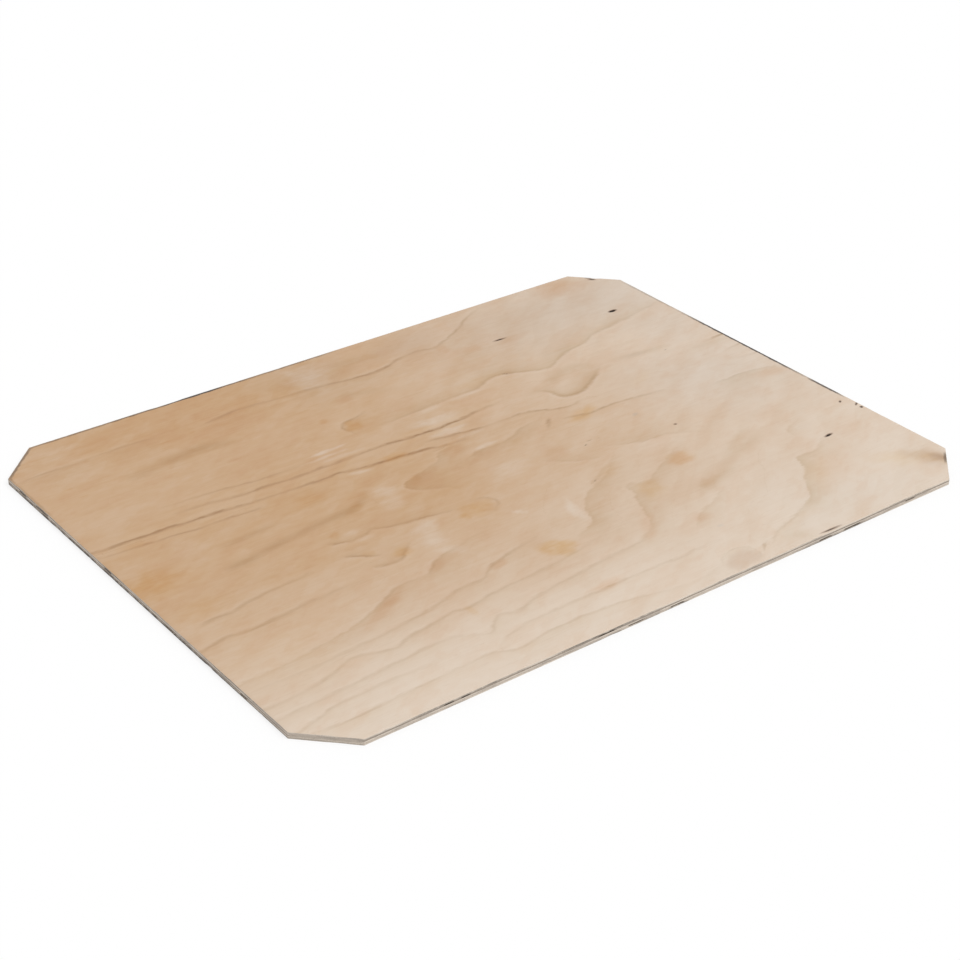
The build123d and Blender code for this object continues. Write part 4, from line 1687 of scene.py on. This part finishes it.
@dataclass
class Veneer:
    """An outer ply: a closed lamina with a fine grid on its outer face, a sawn band and a plain inner face.

    Each of the band's rings has its depth as a share of the ply, and its share of glue.
    """

    name: str
    plan: SheetPlan
    edge: SawnEdge
    lines: RimLines
    figure: Figure
    lie: Lie
    chips: tuple[RimMark, ...]
    face_finish: BirchVeneer
    edge_finish: SawnPlies
    rings: tuple[tuple[float, float], ...] = ((0.62, 0.0), (0.78, 0.0), (0.92, 0.35))
    flat_share: float = 0.35
    least_step: float = 0.02
    sink_rise: tuple[float, float] = (0.5, 3.0)
    face_map: tuple[float, float] = (0.22, 0.77)
    band_map: tuple[float, float] = (0.02, 0.11)
    lid_map: tuple[float, float] = (0.02, 0.12)

    @property
    def ply(self) -> int:
        """The veneer's number among the plies, from 0 at the bottom."""
        return self.plan.ply_count - 1 if self.lie is Lie.UP else 0

    def band_profile(self, arris: np.ndarray) -> list[tuple[np.ndarray, np.ndarray, float]]:
        """Works out the rings of the sawn band from the face inwards, down to the glue line.

        Args:
            arris: the width of the eased arris at each station.

        Returns:
            The inset, the depth below the face and the share of glue of each ring.
        """
        thick, level = self.plan.ply, np.ones_like(arris)
        flat = self.flat_share * arris
        profile = [(flat, flat, 0.0), (self.edge.hollow(self.lines, 0.0, self.ply), arris, 0.0)]
        for share, glue in self.rings:
            depth = np.maximum(share * thick, arris + self.least_step)
            profile.append((self.edge.hollow(self.lines, share * thick, self.ply), depth, glue))
        return profile + [(level * self.edge.glue_groove, level * thick, 1.0)]

    def build(self) -> bpy.types.Object:
        """Builds the lamina: the face lies below its nominal height by the sink of each knot.

        Returns:
            The piece, dressed and riding on the sheet's body.
        """
        plan, lines, parts = self.plan, self.lines, MeshParts()
        up = self.lie is Lie.UP
        arris = self.edge.arris(lines, self.chips, FACE_ARRIS_SEED if up else BACK_ARRIS_SEED)
        x, y = (grid.ravel() for grid in lines.drawn_in(arris))
        fields = self.figure.fields(x, y, plan)
        sunk = fields.pop("sink") * eased(plan.rim_gap(x, y), *self.sink_rise)
        top = plan.thickness if up else 0.0
        toward = -1.0 if up else 1.0
        grid = parts.add_points(np.stack([x, y, top + toward * sunk], axis=1), fields).reshape(lines.x.shape)
        quads = np.stack([grid[:-1, :-1], grid[:-1, 1:], grid[1:, 1:], grid[1:, :-1]], axis=2).reshape(-1, 4)
        quads = quads if up else quads[:, ::-1]
        u = MAP_MARGIN + (1 - 2 * MAP_MARGIN) * (x / plan.length + 0.5)
        v = self.face_map[0] + self.face_map[1] * (y / plan.width + 0.5)
        parts.add_faces(quads, np.stack([u, v], axis=1)[quads], 0)

        rings, points = [grid[lines.at]], None
        for inset, depth, glue in self.band_profile(arris):
            points = lines.ring(inset, top + toward * depth)
            rings.append(parts.add_points(points, self.edge.fields(lines, self.ply, glue)))
        faces, places = band_faces(np.stack(rings), *self.band_map)
        parts.add_faces(faces if up else faces[:, ::-1], places if up else places[:, ::-1], 1)
        order = slice(None, None, -1) if up else slice(None)
        parts.add_faces(*lid_face(rings[-1][order], points[order], plan, self.lid_map), 1)
        piece = parts.make(self.name, [self.face_finish.build(), self.edge_finish.build()])
        place_in_sheet(piece)
        return piece


@dataclass
class InnerPlies:
    """The plies between the two outer ones: a closed slab whose rim shows the bands, glue lines and gaps.

    Each of a ply's rings has its depth as a share of the ply, and its share of glue.
    """

    name: str
    plan: SheetPlan
    edge: SawnEdge
    lines: RimLines
    finish: SawnPlies
    rings: tuple[tuple[float, float], ...] = (
        (0.0, 1.0), (0.08, 0.3), (0.30, 0.0), (0.55, 0.0), (0.80, 0.0), (0.92, 0.3), (1.0, 1.0))
    band_map: tuple[float, float] = (0.14, 0.98)
    upper_lid_map: tuple[float, float] = (0.02, 0.02)
    lower_lid_map: tuple[float, float] = (0.14, 0.02)

    def build(self) -> bpy.types.Object:
        """Builds the slab: rings from the top ply down, drawn in at each glue line and hollow at each gap.

        Returns:
            The piece, dressed and riding on the sheet's body.
        """
        plan, lines, parts = self.plan, self.lines, MeshParts()
        rings, points = [], []
        for ply in range(plan.ply_count - 2, 0, -1):
            for share, glue in self.rings:
                if share == 0.0 and rings:
                    continue
                z = (ply + 1 - share) * plan.ply
                inset = self.edge.glue_groove if glue == 1.0 else self.edge.hollow(lines, z, ply)
                points.append(lines.ring(inset * np.ones_like(lines.rim_x), z))
                rings.append(parts.add_points(points[-1], self.edge.fields(lines, ply, glue)))
        parts.add_faces(*band_faces(np.stack(rings), *self.band_map), 0)
        parts.add_faces(*lid_face(rings[0], points[0], plan, self.upper_lid_map), 0)
        parts.add_faces(*lid_face(rings[-1][::-1], points[-1][::-1], plan, self.lower_lid_map), 0)
        piece = parts.make(self.name, [self.finish.build()])
        piece.data.polygons.foreach_set("use_smooth", np.zeros(len(piece.data.polygons), dtype=bool))
        place_in_sheet(piece)
        return piece


@dataclass(frozen=True)
class StudioFloor:
    """Matt white floor, lit a little from within: it takes a faint shadow, and is clear from below."""

    name: str = "matt_white_paper"
    colour: str = "#ffffff"
    glow: float = 0.75

    def build(self) -> bpy.types.Material:
        """Builds the finish: diffuse white above, partly glowing white to the camera, and clear below.

        Returns:
            The material.
        """
        finish = FinishTree(self.name)
        paper = add_node(finish.tree, "BsdfDiffuse", {"Color": linear(self.colour)})
        white = add_node(finish.tree, "Emission", {"Color": linear(self.colour), "Strength": 1.0})
        seen = finish.product(seen_rays(finish.tree), self.glow)
        lit = add_node(finish.tree, "MixShader", {0: seen, 1: paper.outputs[0], 2: white.outputs[0]})
        clear = add_node(finish.tree, "BsdfTransparent")
        back = add_node(finish.tree, "NewGeometry").outputs["Backfacing"]
        sides = add_node(finish.tree, "MixShader", {0: back, 1: lit.outputs[0], 2: clear.outputs[0]})
        add_node(finish.tree, "OutputMaterial", {"Surface": sides.outputs[0]})
        return finish.material


@dataclass
class Studio:
    """The floor, the soft light and the camera at the photograph's viewing angle."""

    plan: SheetPlan
    look_at: tuple[float, float, float] = (-24.69, -23.37, 6.5)
    distance: float = 2009.86
    azimuth: float = -37.795
    elevation: float = 30.307
    roll: float = 0.756
    lens: float = 75.82
    sensor: float = 36.0
    clip_end: float = 100.0
    sky: float = 0.68
    sun_from: tuple[float, float, float] = (0.45, -0.75, 1.2)
    sun_spread: float = 36.0
    floor_drop: float = 0.05
    floor_tuck: float = 2.0
    floor_reach: float = 60.0

    def add_floor(self) -> None:
        """Lays the floor as a ring from just inside the sheet's outline to far away, past the picture."""
        plan, inside = self.plan, self.floor_tuck
        half_length, half_width, cut = plan.length / 2 - inside, plan.width / 2 - inside, plan.corner_cut
        corner = np.array([(-half_length + cut, -half_width), (half_length - cut, -half_width),
                           (half_length, -half_width + cut), (half_length, half_width - cut),
                           (half_length - cut, half_width), (-half_length + cut, half_width),
                           (-half_length, half_width - cut), (-half_length, -half_width + cut)])
        points = np.vstack([corner, corner * self.floor_reach])
        points = np.column_stack([points, np.full(len(points), -self.floor_drop)]) * MM
        inner = np.arange(len(corner))
        after = np.roll(inner, -1)
        faces = np.stack([inner, inner + len(corner), after + len(corner), after], axis=1)
        mesh = bpy.data.meshes.new("studio_floor")
        mesh.from_pydata(points.tolist(), [], faces.tolist())
        mesh.materials.append(StudioFloor().build())
        floor = bpy.data.objects.new("studio_floor", mesh)
        bpy.context.scene.collection.objects.link(floor)

    def add_light(self) -> None:
        """Lights a level white surface to full white: an even sky and a soft sun share the level."""
        direction = Vector(self.sun_from).normalized()
        lamp = bpy.data.lights.new("soft_sun", "SUN")
        lamp.angle = math.radians(self.sun_spread)
        lamp.energy = (1 - self.sky) * math.pi / direction.z
        sun = bpy.data.objects.new("soft_sun", lamp)
        sun.rotation_euler = direction.to_track_quat("Z", "Y").to_euler()
        bpy.context.scene.collection.objects.link(sun)
        world = bpy.data.worlds.new("white_room")
        world.use_nodes = True
        tree = world.node_tree
        tree.nodes.clear()
        strength = add_node(tree, "MapRange", {0: seen_rays(tree), 3: self.sky, 4: 1.0})
        sky = add_node(tree, "Background", {"Color": (1.0, 1.0, 1.0, 1.0), "Strength": strength.outputs[0]})
        add_node(tree, "OutputWorld", {"Surface": sky.outputs[0]})
        bpy.context.scene.world = world

    def add_camera(self) -> None:
        """Sets the camera back from the point it looks at, then rolls it about its line of sight."""
        azimuth, elevation, roll = (math.radians(v) for v in (self.azimuth, self.elevation, self.roll))
        back = Vector((math.sin(azimuth) * math.cos(elevation), -math.cos(azimuth) * math.cos(elevation),
                       math.sin(elevation)))
        level = Vector((0.0, 0.0, 1.0)).cross(back).normalized()
        upright = back.cross(level)
        right = level * math.cos(roll) + upright * math.sin(roll)
        up = back.cross(right)
        data = bpy.data.cameras.new("photo_camera")
        data.lens = self.lens
        data.sensor_width = self.sensor
        data.clip_end = self.clip_end
        camera = bpy.data.objects.new("photo_camera", data)
        place = (Vector(self.look_at) + back * self.distance) * MM
        camera.matrix_world = Matrix.Translation(place) @ Matrix((right, up, back)).transposed().to_4x4()
        bpy.context.scene.collection.objects.link(camera)
        bpy.context.scene.camera = camera


def main() -> None:
    """Builds the studio and the sheet's three pieces."""
    logging.basicConfig(level=logging.INFO, format="%(message)s")
    low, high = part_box(NODE)
    length, width, thickness = ((b - a) / MM for a, b in zip(low, high))
    plan = SheetPlan(length, width, thickness)
    edge = SawnEdge(plan)
    face_figure = Figure(
        lines=FACE_LINES, stains=FACE_STAINS, blushes=FACE_BLUSHES, burns=FACE_BURNS, sheen_patches=FACE_SHEEN_PATCHES,
        greys_and_shade=FACE_GREYS_AND_SHADE, knots=FACE_KNOTS, rim_stains_and_shade=FACE_RIM_STAINS_AND_SHADE, tone_along=FACE_TONE_ALONG,
        tone_across=FACE_TONE_ACROSS, seed=FACE_SEED)
    back_figure = Figure(
        lines=BACK_LINES, stains=BACK_STAINS, sheen_patches=BACK_SHEEN_PATCHES, knots=BACK_KNOTS,
        tone_along=BACK_TONE_ALONG, tone_across=BACK_TONE_ACROSS, seed=BACK_SEED)
    fine = RimLines(plan, *FACE_GRID, close_to=tuple(pin.x for pin in FACE_KNOTS))
    coarse = RimLines(plan, *BACK_GRID, close_to=tuple(pin.x for pin in BACK_KNOTS))
    bare_birch = BirchVeneer("bare_sanded_birch")
    back_birch = BirchVeneer("bare_birch_back", tan_wood="#c7a788", pale_wood_and_sheen="#d9c5af")
    sawn = SawnPlies("sawn_birch_plies")
    studio = Studio(plan)
    studio.add_floor()
    studio.add_light()
    studio.add_camera()
    Veneer("face_veneer", plan, edge, fine, face_figure, Lie.UP, FACE_CHIPS, bare_birch, sawn).build()
    InnerPlies("inner_plies", plan, edge, fine, sawn).build()
    Veneer("back_veneer", plan, edge, coarse, back_figure, Lie.DOWN, BACK_CHIPS, back_birch, sawn).build()
    bpy.context.scene.view_settings.view_transform = "Standard"


if __name__ == "__main__":
    main()
